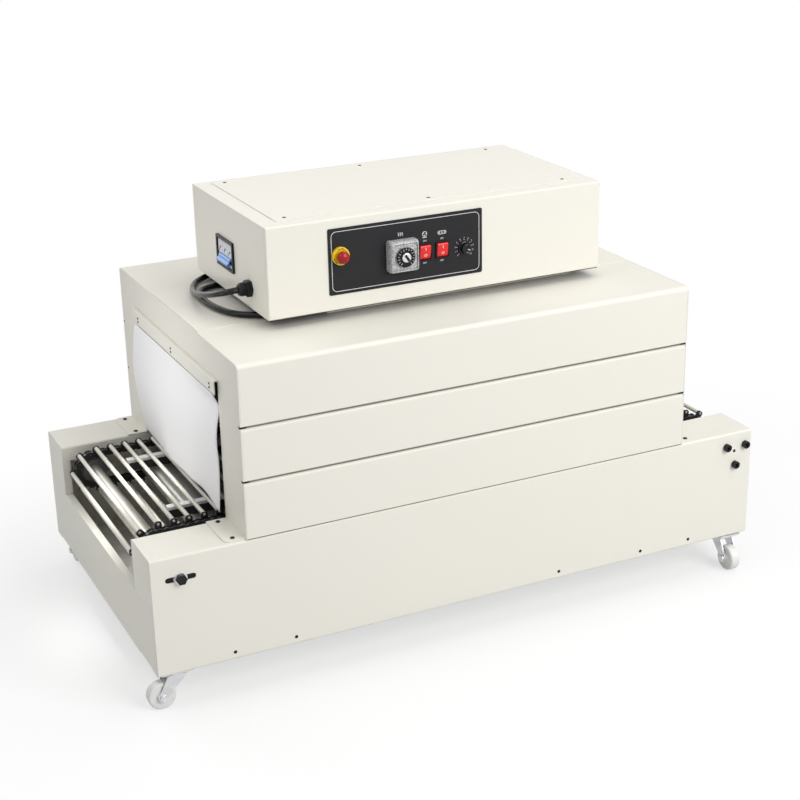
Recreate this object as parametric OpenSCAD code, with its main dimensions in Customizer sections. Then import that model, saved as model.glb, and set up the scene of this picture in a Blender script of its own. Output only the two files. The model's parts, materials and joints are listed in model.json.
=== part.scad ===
// Heat shrink tunnel: a wheeled sheet steel base with a rod conveyor, an insulated hood with
// hanging end curtains, and a control box on a low stand.
// X runs along the conveyor with the inlet at -X, the control panel faces -Y, and Z is up.
// The origin is on the floor under the middle of the base. All sizes are in millimetres.

/* [Base] */
// Length of the base along the conveyor
base_l = 1210; // [1000:1:1600]
// Width of the base from the front face to the back face
base_w = 650; // [560:1:800]
// Height of the base body above the casters
base_h = 218; // [200:1:260]
// Width of the rails beside the conveyor
rail_w = 100; // [80:1:130]
// Thickness of the folded panels
sheet_t = 2; // [1.5:0.5:3]
// Outside radius of the folds
fold_r = 4; // [3.5:0.5:6]
// Height of the end sills above the underside of the base
sill_h = 120; // [100:1:125]
// Depth of the flange along the top of each end sill
sill_flange = 14; // [12:1:30]
// Height of the fold along the inner edge of each rail
skirt_h = 29; // [28:1:60]
// Width of the upright flanges at the ends of the rails
column_w = 15; // [10:1:30]
// Width of the lips under the base
lip_w = 32; // [25:1:45]

/* [Conveyor] */
// Height of the shafts above the underside of the base
axis_h = 176; // [172:1:178]
// Least distance from a shaft to the end of the base
axis_inset = 51; // [50:1:75]
// Diameter of the idler shaft
shaft_d = 25; // [20:1:28]
// Diameter of the drive shaft
drive_d = 20; // [16:1:20]
// Teeth on each sprocket
sprocket_teeth = 14; // [12:2:14]
// Distance between two rods along the chain
rod_pitch = 28; // [26:0.5:28]
// Diameter of the rods
rod_d = 8; // [6:0.5:8]
// Height of the rods above the chain pins, on their lugs
rod_lift = 11.5; // [10:0.5:12]
// Width of a lug
lug_w = 13; // [11:0.5:14]
// Width of each chain over its plates
chain_w = 13; // [12:0.5:16]
// Distance from a rail to the middle of its chain
chain_inset = 28.5; // [20:0.5:35]
// Height of the chain plates
chain_h = 12; // [11:0.5:13]
// Depth of the bed pan below the rods
bed_drop = 22; // [18:1:26]
// Distance from the middle of the bed to a rod guide
guide_y = 120; // [90:1:150]

/* [Hood] */
// Length of the open conveyor before the hood
inlet_l = 173; // [160:1:260]
// Length of the open conveyor after the hood
outlet_l = 163; // [150:1:260]
// Height of the hood above the rails
hood_h = 311; // [290:1:360]
// Height of the tunnel mouth
mouth_h = 250; // [230:1:255]
// Radius of the long upper edges
hood_r = 8; // [6:1:24]
// Height of the lower groove above the rails
groove_low = 103; // [80:1:120]
// Height of the upper groove above the rails
groove_high = 200; // [170:1:220]
// Width of the loose roof plate
roof_w = 256; // [200:1:300]
// Length of the feet on the rails
foot_l = 38; // [25:1:45]

/* [Curtains] */
// Room between a curtain and each side of the mouth
curtain_side = 5; // [5:1:30]
// Thickness of a curtain
curtain_t = 2; // [1:0.5:3]
// Room between a curtain and the conveyor
curtain_gap = 6; // [5:1:20]
// Height of the strip that clamps a curtain
strip_h = 25; // [20:1:40]
// Depth of the folded strip in front of the end frame
strip_d = 8; // [8:0.5:14]

/* [Control box] */
// Length of the control box
box_l = 658; // [500:1:760]
// Depth of the control box
box_d = 370; // [300:1:420]
// Height of the control box
box_h = 163; // [150:1:220]
// Gap between the hood and the control box
box_gap = 18; // [17:1:30]
// Distance from the box ends and front to the edge of its lid
lid_border = 32; // [20:1:60]
// Distance the stand lies inside the box
stand_inset = 40; // [30:1:60]
// Room for the cable beside the stand
cable_bay = 124; // [110:1:150]
// Width of the control panel
panel_w = 298; // [296:1:380]
// Height of the control panel
panel_h = 118; // [110:1:130]

/* [Controls] */
// Diameter of the yellow collar of the stop button
collar_d = 32; // [30:1:40]
// Diameter of the head of the stop button
stop_d = 22; // [18:1:26]
// Travel of the stop button
stop_travel = 4; // [2:0.5:5]
// Side of the square controller housing
controller_w = 56; // [46:1:58]
// Height of the controller housing above the panel
controller_h = 20; // [14:1:24]
// Diameter of the controller dial
dial_d = 36; // [30:1:40]
// Width of a rocker
rocker_w = 21.5; // [16:0.5:24]
// Height of a rocker
rocker_h = 25.5; // [22:0.5:28]
// Diameter of the speed knob
knob_d = 20; // [18:1:28]
// Width of the breaker window
breaker_w = 74; // [60:1:80]
// Height of the breaker window
breaker_h = 46; // [42:1:50]

/* [Casters] */
// Height of the casters from the floor to the base
caster_h = 72; // [70:1:80]
// Diameter of the wheels
wheel_d = 50; // [46:1:54]
// Width of the wheel treads
wheel_w = 20; // [16:1:22]
// Distance from the swivel to the axle
caster_trail = 27; // [22:1:30]
// Distance from the swivel to the base end
caster_x = 37; // [32:1:60]
// Distance from the swivel to the base face
caster_y = 27; // [25:1:50]

/* [Cable] */
// Diameter of the cable
cable_d = 11; // [9:0.5:12]

/* [Hidden] */
$fn = 48;

// Colours
cream = "#f0ede2";
cream_rod = "#ece7d6";
zinc = "#b9bcbd";
steel = "#c9cccf";
black = "#1c1c1e";
white = "#f4f4f2";

// Clearances
seat_gap = 0.3;
fit_gap = 0.05;
cut = 1;

// Levels
base_z = caster_h;
rail_z = base_z + base_h;
axis_z = base_z + axis_h;
sill_z = base_z + sill_h;
mouth_z = rail_z + mouth_h;
hood_z = rail_z + hood_h;
box_z = hood_z + box_gap;
box_top = box_z + box_h;

// Sheet parts of the base
floor_t = 1.5;
inner_w = base_w - 2 * rail_w;
slot_l = 54;
slot_w = 10;
slot_shift = 0;

// Chain: two links per rod, a whole number of links in each straight run, and half a link
// each side of the shafts, so that a link lies level on top of each sprocket
link = rod_pitch / 2;
tooth_turn = 360 / sprocket_teeth;
pcd = link / sin(tooth_turn / 2);
run_links = floor((base_l - 2 * axis_inset) / link);
wrap_links = sprocket_teeth / 2;
loop_links = 2 * run_links + sprocket_teeth;
axis_x = run_links * link / 2;
run_h = pcd / 2 * cos(tooth_turn / 2);
rod_z = axis_z + run_h + rod_lift;
lug_top = rod_lift + rod_d / 2 + 0.5;
lug_corner = 3;
chain_y = inner_w / 2 - chain_inset;
plate_t = 3;
waist_h = chain_h - 3.5;
roller_d = 8.5;
sprocket_t = chain_w - 2 * plate_t - 1;
tip_rise = 3;
hub_d = 44;
hub_l = 16;
skirt_hole_d = shaft_d + 8;
bed_z = rod_z - rod_d / 2 - bed_drop;
bed_t = 1.5;
bed_end = 140;
bed_fold = 30;
bed_r = 10;
guide_w = 14;
guide_end = 98;

// Bolts at the ends of the front and back panels
bolt_d = 10;
bolt_hex = 17;
bolt_head = 7;
washer_d = 21;
washer_t = 1.5;
bracket_t = 8;
bracket_x = [-45, 47];
bracket_h = 80;
bracket_drop = 45;
drive_bolt_d = 8;
drive_bolt_head_d = 15;
drive_bolt_head = 8;
drive_bolt_places = [[-5, 15], [38, 14], [16, -24]];

// Hood
flank_w = (base_w - roof_w) / 2 + 3;
roof_sheet = 1.5;
groove_w = 4;
groove_d = 8;
groove_r = 6;
liner_t = 1;
liner_r = 2;
foot_r = 12;
foot_inset = 4;
hood_l = base_l - inlet_l - outlet_l;
hood_x = (inlet_l - outlet_l) / 2;
hood_left = hood_x - hood_l / 2;
hood_right = hood_x + hood_l / 2;

// Curtains
strip_t = 1.5;
strip_r = 2;
strip_over = 10;
strip_low = 20;
bead_d = 4;
strip_z = mouth_z - strip_low;
curtain_axis_z = strip_z - seat_gap - bead_d / 2;
curtain_w = inner_w - 2 * liner_t - 2 * curtain_side;
curtain_out = sheet_t + strip_d - strip_t / 2;
conveyor_top = axis_z + run_h + lug_top;
curtain_drop = curtain_axis_z - conveyor_top - curtain_gap;

// Control box
box_x = 7;
box_y = -3;
box_left = box_x - box_l / 2;
box_front = box_y - box_d / 2;
box_r = 3;
lid_t = 1.5;
lid_back = 16;
lid_r = 4;
stand_d = 240;
stand_left = box_left + cable_bay;
panel_t = 1.5;
panel_x = -60;
panel_rise = 87;
panel_z = box_z + panel_rise;
panel_r = 3;

// Controls, as places on the panel: along X, and above the middle of the panel
stop_at = [-187.5, 10.5];
controller_at = [-72, -4];
rocker_left_at = [-25, -6];
rocker_right_at = [9, -6];
knob_at = [53, -9];
collar_h = 7;
collar_r = 2;
stop_stem_d = 11;
stop_stem_l = 12;
stop_gap = stop_travel + 1.5;
stop_head_h = 11;
dial_h = 3;
dial_knob_d = 17;
dial_knob_h = 4;
stem_d = 6;
stem_l = 8;
housing_r = 4;
bezel_rim = 2.5;
bezel_r = 2;
bezel_h = 2.5;
rocker_tilt = 8;
rocker_side_gap = 0.3;
rocker_end_gap = 0.8;
rocker_pocket = 12;
rocker_rise = 6;
rocker_ends = 4;
rocker_back = 4;
knob_h = 12;
knob_skirt_d = knob_d + 4;
knob_skirt_h = 3;

// Breaker, on the left end of the control box
breaker_y = 12;
breaker_rise = 71;
breaker_z = box_z + breaker_rise;
breaker_rim = 5;
breaker_proud = 4;
breaker_depth = 30;
breaker_gap = 0.2;
body_proud = 1;
toggle_r = 6;
toggle_w = 56;
toggle_drop = 10;
toggle_l = 12;
toggle_t = 7;
toggle_rest = -38;

// Cable, gland and grommet
gland_in = 84;
gland_y = box_front + gland_in;
gland_rise = 37;
gland_z = box_z + gland_rise;
gland_hex = 32;
gland_hex_h = 10;
gland_d = 24;
gland_l = 24;
grommet_d = 15.4;
grommet_t = 4;
cable_sides = 10;
// Lay of the cable, from the left front corner of the box and the top of the hood
cable_lay = [
    [-24.6, 84, 55], [-35, 85, 54], [-46.5, 92, 51], [-55.1, 108, 46], [-59.4, 132, 39],
    [-60.9, 161, 31], [-59.4, 194, 23], [-55.1, 226, 16], [-47.9, 258, 10], [-37.1, 290, 8],
    [-21, 319, 7], [6, 344, 7], [34, 362, 7], [64, 369, 7], [92, 360, 7], [109, 337, 7],
    [111, 308, 7.5], [96, 285, 8], [68, 275, 8], [34, 276, 8], [0, 276, 8], [-25.6, 266, 8],
    [-38.6, 246, 8], [-45, 220, 8], [-46.5, 190, 8], [-44.3, 160, 8], [-37.8, 130, 8],
    [-26.3, 102, 8], [-4, 80, 8], [24, 66, 8], [55, 61, 8], [86, 61, 9.6], [119.7, 61, 10]];
cable_route = [for (p = cable_lay) p + [box_left, box_front, hood_z]];

// Casters
plate_l = 58;
plate_w = 46;
plate_h = 2.5;
race_d = 34;
race_h = 5.5;
king_d = 8;
king_head_d = 15;
king_head_h = 3;
web_t = 3;
leg_t = 2.5;
hub_gap = 0.3;
axle_d = 8;
axle_boss = 9;
axle_end = 2;
wheel_hub_w = wheel_w + 4;
wheel_hub_d = 20;
tread_r = 4;
race_z = base_z - plate_h - race_h;
web_z = race_z - seat_gap - web_t;
leg_y = wheel_hub_w / 2 + hub_gap;
// Corner signs along X and Y, and the turn of each caster at rest
front_left = [-1, -1, 180];
front_right = [1, -1, 270];
back_left = [-1, 1, 90];
back_right = [1, 1, 0];
corners = [front_left, front_right, back_left, back_right];

// Unit vector from one point to the next
function heading(a, b) = (b - a) / norm(b - a);
// A plane vector turned by an angle
function turned(v, a) = [v[0] * cos(a) - v[1] * sin(a), v[0] * sin(a) + v[1] * cos(a)];
// The flat part of a path point that carries its corner radius third
function flat(p) = [p[0], p[1]];
// Points of a path with each corner rounded to its own radius, moved to its right by off
function bent_path(path, off = 0, steps = 8) = [
    for (i = [0:len(path) - 1])
        let (
            last = len(path) - 1,
            here = flat(path[i]),
            d0 = heading(flat(path[max(i - 1, 0)]), flat(path[max(i, 1)])),
            d1 = heading(flat(path[min(i, last - 1)]), flat(path[min(i + 1, last)])),
            turn = atan2(cross(d0, d1), d0 * d1),
            side = sign(turn),
            r = path[i][2],
            start = here - d0 * r * tan(abs(turn) / 2),
            centre = start + turned(d0, 90) * side * r,
            arm = turned(d0, -90) * side * (r + side * off)
        )
        each (r == 0 || turn == 0) ? [here + turned(d0, -90) * off]
            : [for (k = [0:steps]) centre + turned(arm, turn * k / steps)]
];
// Closed outline of a sheet folded along a path, with its thickness to the right of the path
function sheet_outline(path, t) = let (inside = bent_path(path, t)) concat(
    bent_path(path), [for (i = [len(inside) - 1:-1:0]) inside[i]]);
// Rounded rectangle about the middle
function rounded(w, h, r) = bent_path([[0, -h / 2, 0], [w / 2, -h / 2, r], [w / 2, h / 2, r],
    [-w / 2, h / 2, r], [-w / 2, -h / 2, r], [0, -h / 2, 0]]);

// Pin k of the chain loop and the turn of the chain there, in the plane of the chain
function wrap_point(side, a) = [side * axis_x + pcd / 2 * cos(a), pcd / 2 * sin(a), a - 90];
function loop_point(k) =
    let (far = k - run_links, low = far - wrap_links, near = low - run_links)
    far < 0 ? [-axis_x + (k + 0.5) * link, run_h, 0]
    : low < 0 ? wrap_point(1, 90 - (far + 0.5) * tooth_turn)
    : near < 0 ? [axis_x - (low + 0.5) * link, -run_h, 180]
    : wrap_point(-1, 270 - (near + 0.5) * tooth_turn);
// Pin k moved out from the chain by a height
function lifted_point(k, h) = let (p = loop_point(k)) flat(p) + turned([0, h], p[2]);
// Edge of the chain plates: full height at each pin, waisted between the pins
function plate_edge(side) = [
    for (k = [0:loop_links - 1], part = [-1, 1, 2])
        let (
            p = loop_point(k),
            q = loop_point((k + 1) % loop_links),
            middle = (flat(p) + flat(q)) / 2,
            way = heading(flat(p), flat(q)),
            out = turned([0, 1], p[2])
        )
        part < 2 ? flat(p) + out * side * chain_h / 2 + turned([1, 0], p[2]) * part * link / 5
            : middle + turned(way, 90) * side * waist_h / 2
];

// Carries a profile drawn across the base (Y, Z) along X
module along_x(l) {
    rotate([90, 0, 90]) linear_extrude(l, center = true) children();
}

// Carries a profile drawn along the base (X, Z) across it
module across_y(l) {
    rotate([90, 0, 0]) linear_extrude(l, center = true) children();
}

// A place on the control panel side of the box, with Z pointing out of the panel
module on_panel(at) {
    translate([at[0], box_front, panel_z + at[1]]) rotate([90, 0, 0]) children();
}

// A place on the left end of the control box, with Z pointing out of it
module on_box_left(y, z) {
    translate([box_left, y, z]) rotate([90, 0, -90]) children();
}

// Both sides of the base, front and back
module both_sides() {
    children();
    mirror([0, 1, 0]) children();
}

// Base

module long_slot(l, d, h) {
    linear_extrude(h, center = true) union() {
        square([l - d, d], center = true);
        for (x = [-1, 1]) translate([x * (l - d) / 2, 0]) circle(d = d);
    }
}

module side_panel() {
    face = [[lip_w, 0, 0], [0, 0, fold_r], [0, base_h, fold_r], [rail_w, base_h, fold_r],
        [rail_w, base_h - skirt_h, 0]];
    column = [[sheet_t, sill_h, 0], [sheet_t, base_h - sheet_t, fold_r - sheet_t],
        [rail_w - sheet_t, base_h - sheet_t, fold_r - sheet_t], [rail_w - sheet_t, sill_h, 0]];
    difference() {
        translate([0, -base_w / 2, base_z]) {
            along_x(base_l) polygon(sheet_outline(face, sheet_t));
            for (x = [-1, 1]) {
                translate([x * (base_l - sheet_t) / 2, 0, 0]) along_x(sheet_t) polygon(bent_path(column));
                translate([x * (base_l - column_w) / 2, rail_w - sheet_t / 2, (sill_h + base_h - fold_r) / 2])
                    cube([column_w, sheet_t, base_h - fold_r - sill_h], center = true);
            }
        }
        translate([-axis_x + slot_shift, -base_w / 2, axis_z]) rotate([90, 0, 0])
            long_slot(slot_l, slot_w, 4 * sheet_t);
        for (p = drive_bolt_places) translate([axis_x + p[0], -base_w / 2, axis_z + p[1]])
            rotate([90, 0, 0]) cylinder(d = drive_bolt_d + 4 * fit_gap, h = 4 * sheet_t, center = true);
        for (x = [-1, 1]) translate([x * axis_x, -inner_w / 2, axis_z])
            rotate([90, 0, 0]) cylinder(d = skirt_hole_d, h = 4 * sheet_t, center = true);
    }
}

module base_front_panel() {
    color(cream) side_panel();
}

module base_back_panel() {
    color(cream) mirror([0, 1, 0]) side_panel();
}

module end_panel() {
    sill = [[0, 0, 0], [0, sill_h, fold_r], [sill_flange, sill_h, 0]];
    translate([-base_l / 2, 0, base_z]) {
        across_y(inner_w - 2 * seat_gap) polygon(sheet_outline(sill, sheet_t));
        across_y(base_w - 2 * sheet_t - 2 * seat_gap) translate([0, sheet_t + seat_gap])
            square([sheet_t, sill_h - sheet_t - 2 * seat_gap]);
    }
}

module base_end_left() {
    color(cream) end_panel();
}

module base_end_right() {
    color(cream) mirror([1, 0, 0]) end_panel();
}

module base_floor() {
    length = base_l - 2 * sheet_t - 2 * seat_gap;
    color(zinc) translate([0, 0, base_z + sheet_t + floor_t / 2])
        cube([length, base_w - 2 * sheet_t - 2 * fold_r, floor_t], center = true);
}

// Conveyor

module bed_pan() {
    left = -base_l / 2 + bed_end;
    pan = [[left, bed_z - bed_fold, 0], [left, bed_z, bed_r],
        [-left, bed_z, bed_r], [-left, bed_z - bed_fold, 0]];
    color(zinc) across_y(inner_w - 2 * seat_gap) polygon(sheet_outline(pan, bed_t));
}

module rod_guides() {
    color(white) both_sides() translate([0, -guide_y, bed_z + (bed_drop - seat_gap) / 2])
        cube([base_l - 2 * guide_end, guide_w, bed_drop - seat_gap], center = true);
}

module plate_ring() {
    difference() {
        polygon(plate_edge(1));
        polygon(plate_edge(-1));
    }
}

// Upright tab on every second pin that carries the end of a rod
module lug(k) {
    half = lug_w / 2;
    p = loop_point(k);
    translate(flat(p)) rotate(p[2]) polygon([[-half, 0], [half, 0], [half, lug_top - lug_corner],
        [half - lug_corner, lug_top], [lug_corner - half, lug_top], [-half, lug_top - lug_corner]]);
}

// Front chain, with the lugs on its inner plates
module chain_loop() {
    inner_plate = chain_w / 2 - plate_t;
    color(black) translate([0, -chain_y, axis_z]) {
        translate([0, -(chain_w - plate_t) / 2, 0]) across_y(plate_t) plate_ring();
        translate([0, (chain_w - plate_t) / 2, 0]) across_y(plate_t) union() {
            plate_ring();
            for (k = [0:2:loop_links - 1]) lug(k);
        }
        for (k = [0:loop_links - 1]) translate([loop_point(k)[0], 0, loop_point(k)[1]])
            rotate([90, 0, 0]) cylinder(d = roller_d, h = 2 * inner_plate + plate_t, center = true);
    }
}

module chain_front() {
    chain_loop();
}

module chain_back() {
    mirror([0, 1, 0]) chain_loop();
}

module conveyor_rods() {
    color(cream_rod) for (k = [0:2:loop_links - 1]) let (p = lifted_point(k, rod_lift))
        translate([p[0], 0, axis_z + p[1]])
            rotate([90, 0, 0]) cylinder(d = rod_d, h = 2 * chain_y - chain_w, center = true);
}

// Sprocket outline: a round seat for each roller and a straight-sided tooth between two seats
function sprocket_outline() = [
    for (j = [0:sprocket_teeth - 1], a = [-75:25:75])
        let (
            seat = roller_d / 2 + seat_gap,
            way = 90 + tooth_turn * (j + 0.5),
            in_seat = [pcd / 2 - seat * cos(a), seat * sin(a)],
            tip = [pcd / 2 + tip_rise, sign(a) * (seat + tip_rise / 4)]
        )
        each abs(a) < 75 ? [turned(in_seat, way)]
            : a < 0 ? [turned(tip, way), turned(in_seat, way)] : [turned(in_seat, way), turned(tip, way)]
];

module sprocket_pair(x, bore) {
    color(black) both_sides() translate([x, -chain_y, axis_z]) difference() {
        union() {
            across_y(sprocket_t) polygon(sprocket_outline());
            translate([0, -sprocket_t / 2, 0]) rotate([-90, 0, 0]) cylinder(d = hub_d, h = hub_l);
        }
        rotate([90, 0, 0]) cylinder(d = bore + 2 * fit_gap, h = 4 * hub_l, center = true);
    }
}

module idler_sprockets() {
    sprocket_pair(-axis_x, shaft_d);
}

module drive_sprockets() {
    sprocket_pair(axis_x, drive_d);
}

module idler_shaft() {
    length = base_w - 2 * sheet_t - 2 * seat_gap;
    color(steel) translate([-axis_x, 0, axis_z]) rotate([90, 0, 0]) difference() {
        cylinder(d = shaft_d, h = length, center = true);
        for (s = [-1, 1]) translate([0, 0, s * length / 2])
            cylinder(d = bolt_d + 2 * fit_gap, h = 2 * hub_l, center = true);
    }
}

module drive_shaft() {
    color(steel) translate([axis_x, 0, axis_z]) rotate([90, 0, 0])
        cylinder(d = drive_d, h = base_w - 2 * sheet_t - 2 * seat_gap, center = true);
}

module tension_bolts() {
    color(black) both_sides() translate([-axis_x, -base_w / 2, axis_z]) rotate([90, 0, 0]) {
        cylinder(d = washer_d, h = washer_t);
        cylinder(d = bolt_hex / cos(30), h = washer_t + bolt_head, $fn = 6);
        translate([0, 0, -hub_l + cut]) cylinder(d = bolt_d - 2 * fit_gap, h = hub_l);
    }
}

module drive_brackets() {
    middle = [(bracket_x[0] + bracket_x[1]) / 2, bracket_h / 2 - bracket_drop];
    inside = -base_w / 2 + sheet_t + bracket_t / 2;
    color(zinc) both_sides() translate([axis_x, inside, axis_z]) difference() {
        across_y(bracket_t) translate(middle)
            polygon(rounded(bracket_x[1] - bracket_x[0], bracket_h, foot_r));
        rotate([90, 0, 0]) cylinder(d = drive_d + 2 * fit_gap, h = 2 * bracket_t, center = true);
        for (p = drive_bolt_places) translate([p[0], 0, p[1]])
            rotate([90, 0, 0]) cylinder(d = drive_bolt_d + 2 * fit_gap, h = 2 * bracket_t, center = true);
    }
}

module drive_bolts() {
    color(black) both_sides() for (p = drive_bolt_places)
        translate([axis_x + p[0], -base_w / 2, axis_z + p[1]]) rotate([90, 0, 0]) difference() {
            union() {
                cylinder(d = drive_bolt_head_d, h = drive_bolt_head);
                translate([0, 0, -sheet_t - bracket_t])
                    cylinder(d = drive_bolt_d, h = sheet_t + bracket_t + cut);
            }
            translate([0, 0, drive_bolt_head / 2]) cylinder(d = drive_bolt_d, h = drive_bolt_head, $fn = 6);
        }
}

// Hood

module hood_cover() {
    profile = [[0, 0, 0],
        [0, groove_low, groove_r], [groove_d, groove_low, 0],
        [groove_d, groove_low + groove_w, 0], [0, groove_low + groove_w, 0],
        [0, groove_high, groove_r], [groove_d, groove_high, 0],
        [groove_d, groove_high + groove_w, 0], [0, groove_high + groove_w, 0],
        [0, hood_h, hood_r], [flank_w, hood_h, 0], [flank_w, mouth_h, 0],
        [rail_w, mouth_h, 0], [rail_w, 0, 0]];
    color(cream) translate([hood_x, -base_w / 2, rail_z]) along_x(hood_l) polygon(bent_path(profile));
}

module hood_front_cover() {
    hood_cover();
}

module hood_back_cover() {
    mirror([0, 1, 0]) hood_cover();
}

module hood_roof() {
    color(cream) translate([hood_x, 0, 0]) {
        translate([0, 0, (mouth_z + hood_z) / 2])
            cube([hood_l, base_w - 2 * flank_w, hood_h - mouth_h], center = true);
        translate([0, 0, hood_z + roof_sheet / 2]) cube([hood_l, roof_w, roof_sheet], center = true);
    }
}

module hood_liner() {
    half = inner_w / 2;
    liner = [[-half, rail_z, 0], [-half, mouth_z, liner_r], [half, mouth_z, liner_r], [half, rail_z, 0]];
    color(zinc) translate([hood_x, 0, 0]) along_x(hood_l) polygon(sheet_outline(liner, liner_t));
}

module hood_end() {
    face = [[0, 0, 0], [0, hood_h, hood_r], [base_w, hood_h, hood_r], [base_w, 0, 0]];
    foot_w = rail_w - foot_inset;
    foot = [[0, 0, 0], [foot_l, 0, foot_r], [foot_l, foot_w, 0], [0, foot_w, 0]];
    color(cream) {
        translate([sheet_t / 2, -base_w / 2, rail_z]) along_x(sheet_t) difference() {
            polygon(bent_path(face));
            translate([rail_w + liner_t, -cut]) square([inner_w - 2 * liner_t, mouth_h - liner_t + cut]);
            for (z = [groove_low, groove_high], y = [-cut, base_w - groove_d])
                translate([y, z]) square([groove_d + cut, groove_w]);
        }
        both_sides() translate([sheet_t / 2, -base_w / 2 + foot_inset, rail_z])
            linear_extrude(sheet_t) polygon(bent_path(foot));
    }
}

module hood_end_left() {
    translate([hood_left, 0, 0]) mirror([1, 0, 0]) hood_end();
}

module hood_end_right() {
    translate([hood_right, 0, 0]) hood_end();
}

// Curtains

// Folded strip: a face over the top of the curtain and a flange back to the end frame
module curtain_strip() {
    fold = [[sheet_t + strip_d, strip_z, 0], [sheet_t + strip_d, strip_z + strip_h, strip_r],
        [sheet_t, strip_z + strip_h, 0]];
    inside = bent_path(fold, -strip_t);
    outline = concat(bent_path(fold), [for (i = [len(inside) - 1:-1:0]) inside[i]]);
    color(cream) across_y(curtain_w + 2 * strip_over) polygon(outline);
}

module curtain() {
    color(white) translate([curtain_out, 0, curtain_axis_z]) {
        rotate([90, 0, 0]) cylinder(d = bead_d, h = curtain_w, center = true);
        translate([0, 0, -curtain_drop / 2]) cube([curtain_t, curtain_w, curtain_drop], center = true);
    }
}

module curtain_strip_left() {
    translate([hood_left, 0, 0]) mirror([1, 0, 0]) curtain_strip();
}

module curtain_strip_right() {
    translate([hood_right, 0, 0]) curtain_strip();
}

module curtain_left() {
    translate([hood_left, 0, 0]) mirror([1, 0, 0]) curtain();
}

module curtain_right() {
    translate([hood_right, 0, 0]) curtain();
}

// Control box

module rocker_pocket(at, depth) {
    height = rocker_h + 2 * rocker_end_gap;
    on_panel(at) translate([0, 0, panel_t / 2 - depth / 2])
        cube([rocker_w + 2 * rocker_side_gap, height, depth + panel_t + cut], center = true);
}

module stem_hole(at, d, depth) {
    on_panel(at) translate([0, 0, -depth]) cylinder(d = d + 2 * fit_gap, h = depth + panel_t + cut);
}

module control_holes() {
    rocker_pocket(rocker_left_at, rocker_pocket);
    rocker_pocket(rocker_right_at, rocker_pocket);
    stem_hole(stop_at, stop_stem_d, stop_stem_l + stop_travel + cut);
    stem_hole(knob_at, stem_d, stem_l + cut);
}

module control_box() {
    color(cream) difference() {
        intersection() {
            translate([box_x, box_y, box_z + box_h / 2]) along_x(box_l)
                polygon(rounded(box_d, box_h, box_r));
            translate([box_x, box_y, box_z]) linear_extrude(box_h) polygon(rounded(box_l, box_d, box_r));
        }
        control_holes();
        on_box_left(breaker_y, breaker_z) translate([0, 0, -breaker_depth / 2 + cut / 2])
            cube([breaker_w, breaker_h, breaker_depth + cut], center = true);
    }
}

module control_box_lid() {
    depth = box_d - lid_border - lid_back;
    color(cream) translate([box_x, box_y + (lid_border - lid_back) / 2, box_top]) linear_extrude(lid_t)
        polygon(rounded(box_l - 2 * lid_border, depth, lid_r));
}

module control_box_stand() {
    bottom = hood_z + roof_sheet;
    color(cream) translate([stand_left, box_front + stand_inset, bottom])
        cube([box_l - cable_bay - stand_inset, stand_d, box_z - bottom]);
}

module control_panel() {
    color(black) difference() {
        on_panel([panel_x, 0]) linear_extrude(panel_t) polygon(rounded(panel_w, panel_h, panel_r));
        control_holes();
    }
}

// Controls

module stop_collar() {
    ring = [[0, 0, 0], [collar_d / 2, 0, 0], [collar_d / 2, collar_h, collar_r], [0, collar_h, 0]];
    color("#f2c71b") on_panel(stop_at) translate([0, 0, panel_t]) difference() {
        rotate_extrude() polygon(bent_path(ring));
        translate([0, 0, -cut]) cylinder(d = stop_stem_d + 2 * fit_gap, h = collar_h + 2 * cut);
    }
}

module stop_button() {
    head = panel_t + collar_h + stop_gap;
    color("#d3131b") on_panel(stop_at) rotate_extrude() polygon(bent_path([[0, -stop_stem_l, 0],
        [stop_stem_d / 2, -stop_stem_l, 0], [stop_stem_d / 2, head, 0], [stop_d / 2, head, collar_r],
        [stop_d / 2, head + stop_head_h, stop_head_h / 2], [0, head + stop_head_h, 0]]));
}

module controller_housing() {
    color("#d6d7d9") on_panel(controller_at) difference() {
        translate([0, 0, panel_t]) linear_extrude(controller_h)
            polygon(rounded(controller_w, controller_w, housing_r));
        translate([0, 0, panel_t + controller_h - stem_l - cut])
            cylinder(d = stem_d + 2 * fit_gap, h = stem_l + 2 * cut);
    }
}

module controller_dial() {
    color(black) on_panel(controller_at) translate([0, 0, panel_t + controller_h + seat_gap]) {
        cylinder(d = dial_d, h = dial_h);
        cylinder(d = dial_knob_d, h = dial_h + dial_knob_h);
        translate([0, 0, -stem_l]) cylinder(d = stem_d, h = stem_l + cut);
    }
}

module rocker_bezels() {
    color(black) for (at = [rocker_left_at, rocker_right_at]) on_panel(at) translate([0, 0, panel_t])
        linear_extrude(bezel_h) difference() {
            polygon(rounded(rocker_w + 2 * bezel_rim, rocker_h + 2 * bezel_rim, bezel_r));
            square([rocker_w + 2 * rocker_side_gap, rocker_h + 2 * rocker_end_gap], center = true);
        }
}

module rocker(at) {
    half = rocker_h / 2;
    color("#e02a22") on_panel(at) rotate([rocker_tilt, 0, 0]) rotate([90, 0, 90])
        linear_extrude(rocker_w, center = true) intersection() {
            polygon([[-half, rocker_ends], [0, rocker_rise], [half, rocker_ends],
                [half, 0], [0, -rocker_back], [-half, 0]]);
            circle(r = half);
        }
}

module rocker_left() {
    rocker(rocker_left_at);
}

module rocker_right() {
    rocker(rocker_right_at);
}

module speed_knob() {
    color(black) on_panel(knob_at) {
        translate([0, 0, panel_t + seat_gap]) {
            cylinder(d = knob_skirt_d, h = knob_skirt_h);
            cylinder(d = knob_d, h = knob_h);
        }
        translate([0, 0, -stem_l]) cylinder(d = stem_d, h = stem_l + knob_h / 2);
    }
}

// Breaker

module breaker_frame() {
    color(black) on_box_left(breaker_y, breaker_z) linear_extrude(breaker_proud) difference() {
        polygon(rounded(breaker_w + 2 * breaker_rim, breaker_h + 2 * breaker_rim, bezel_r));
        square([breaker_w, breaker_h], center = true);
    }
}

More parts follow.
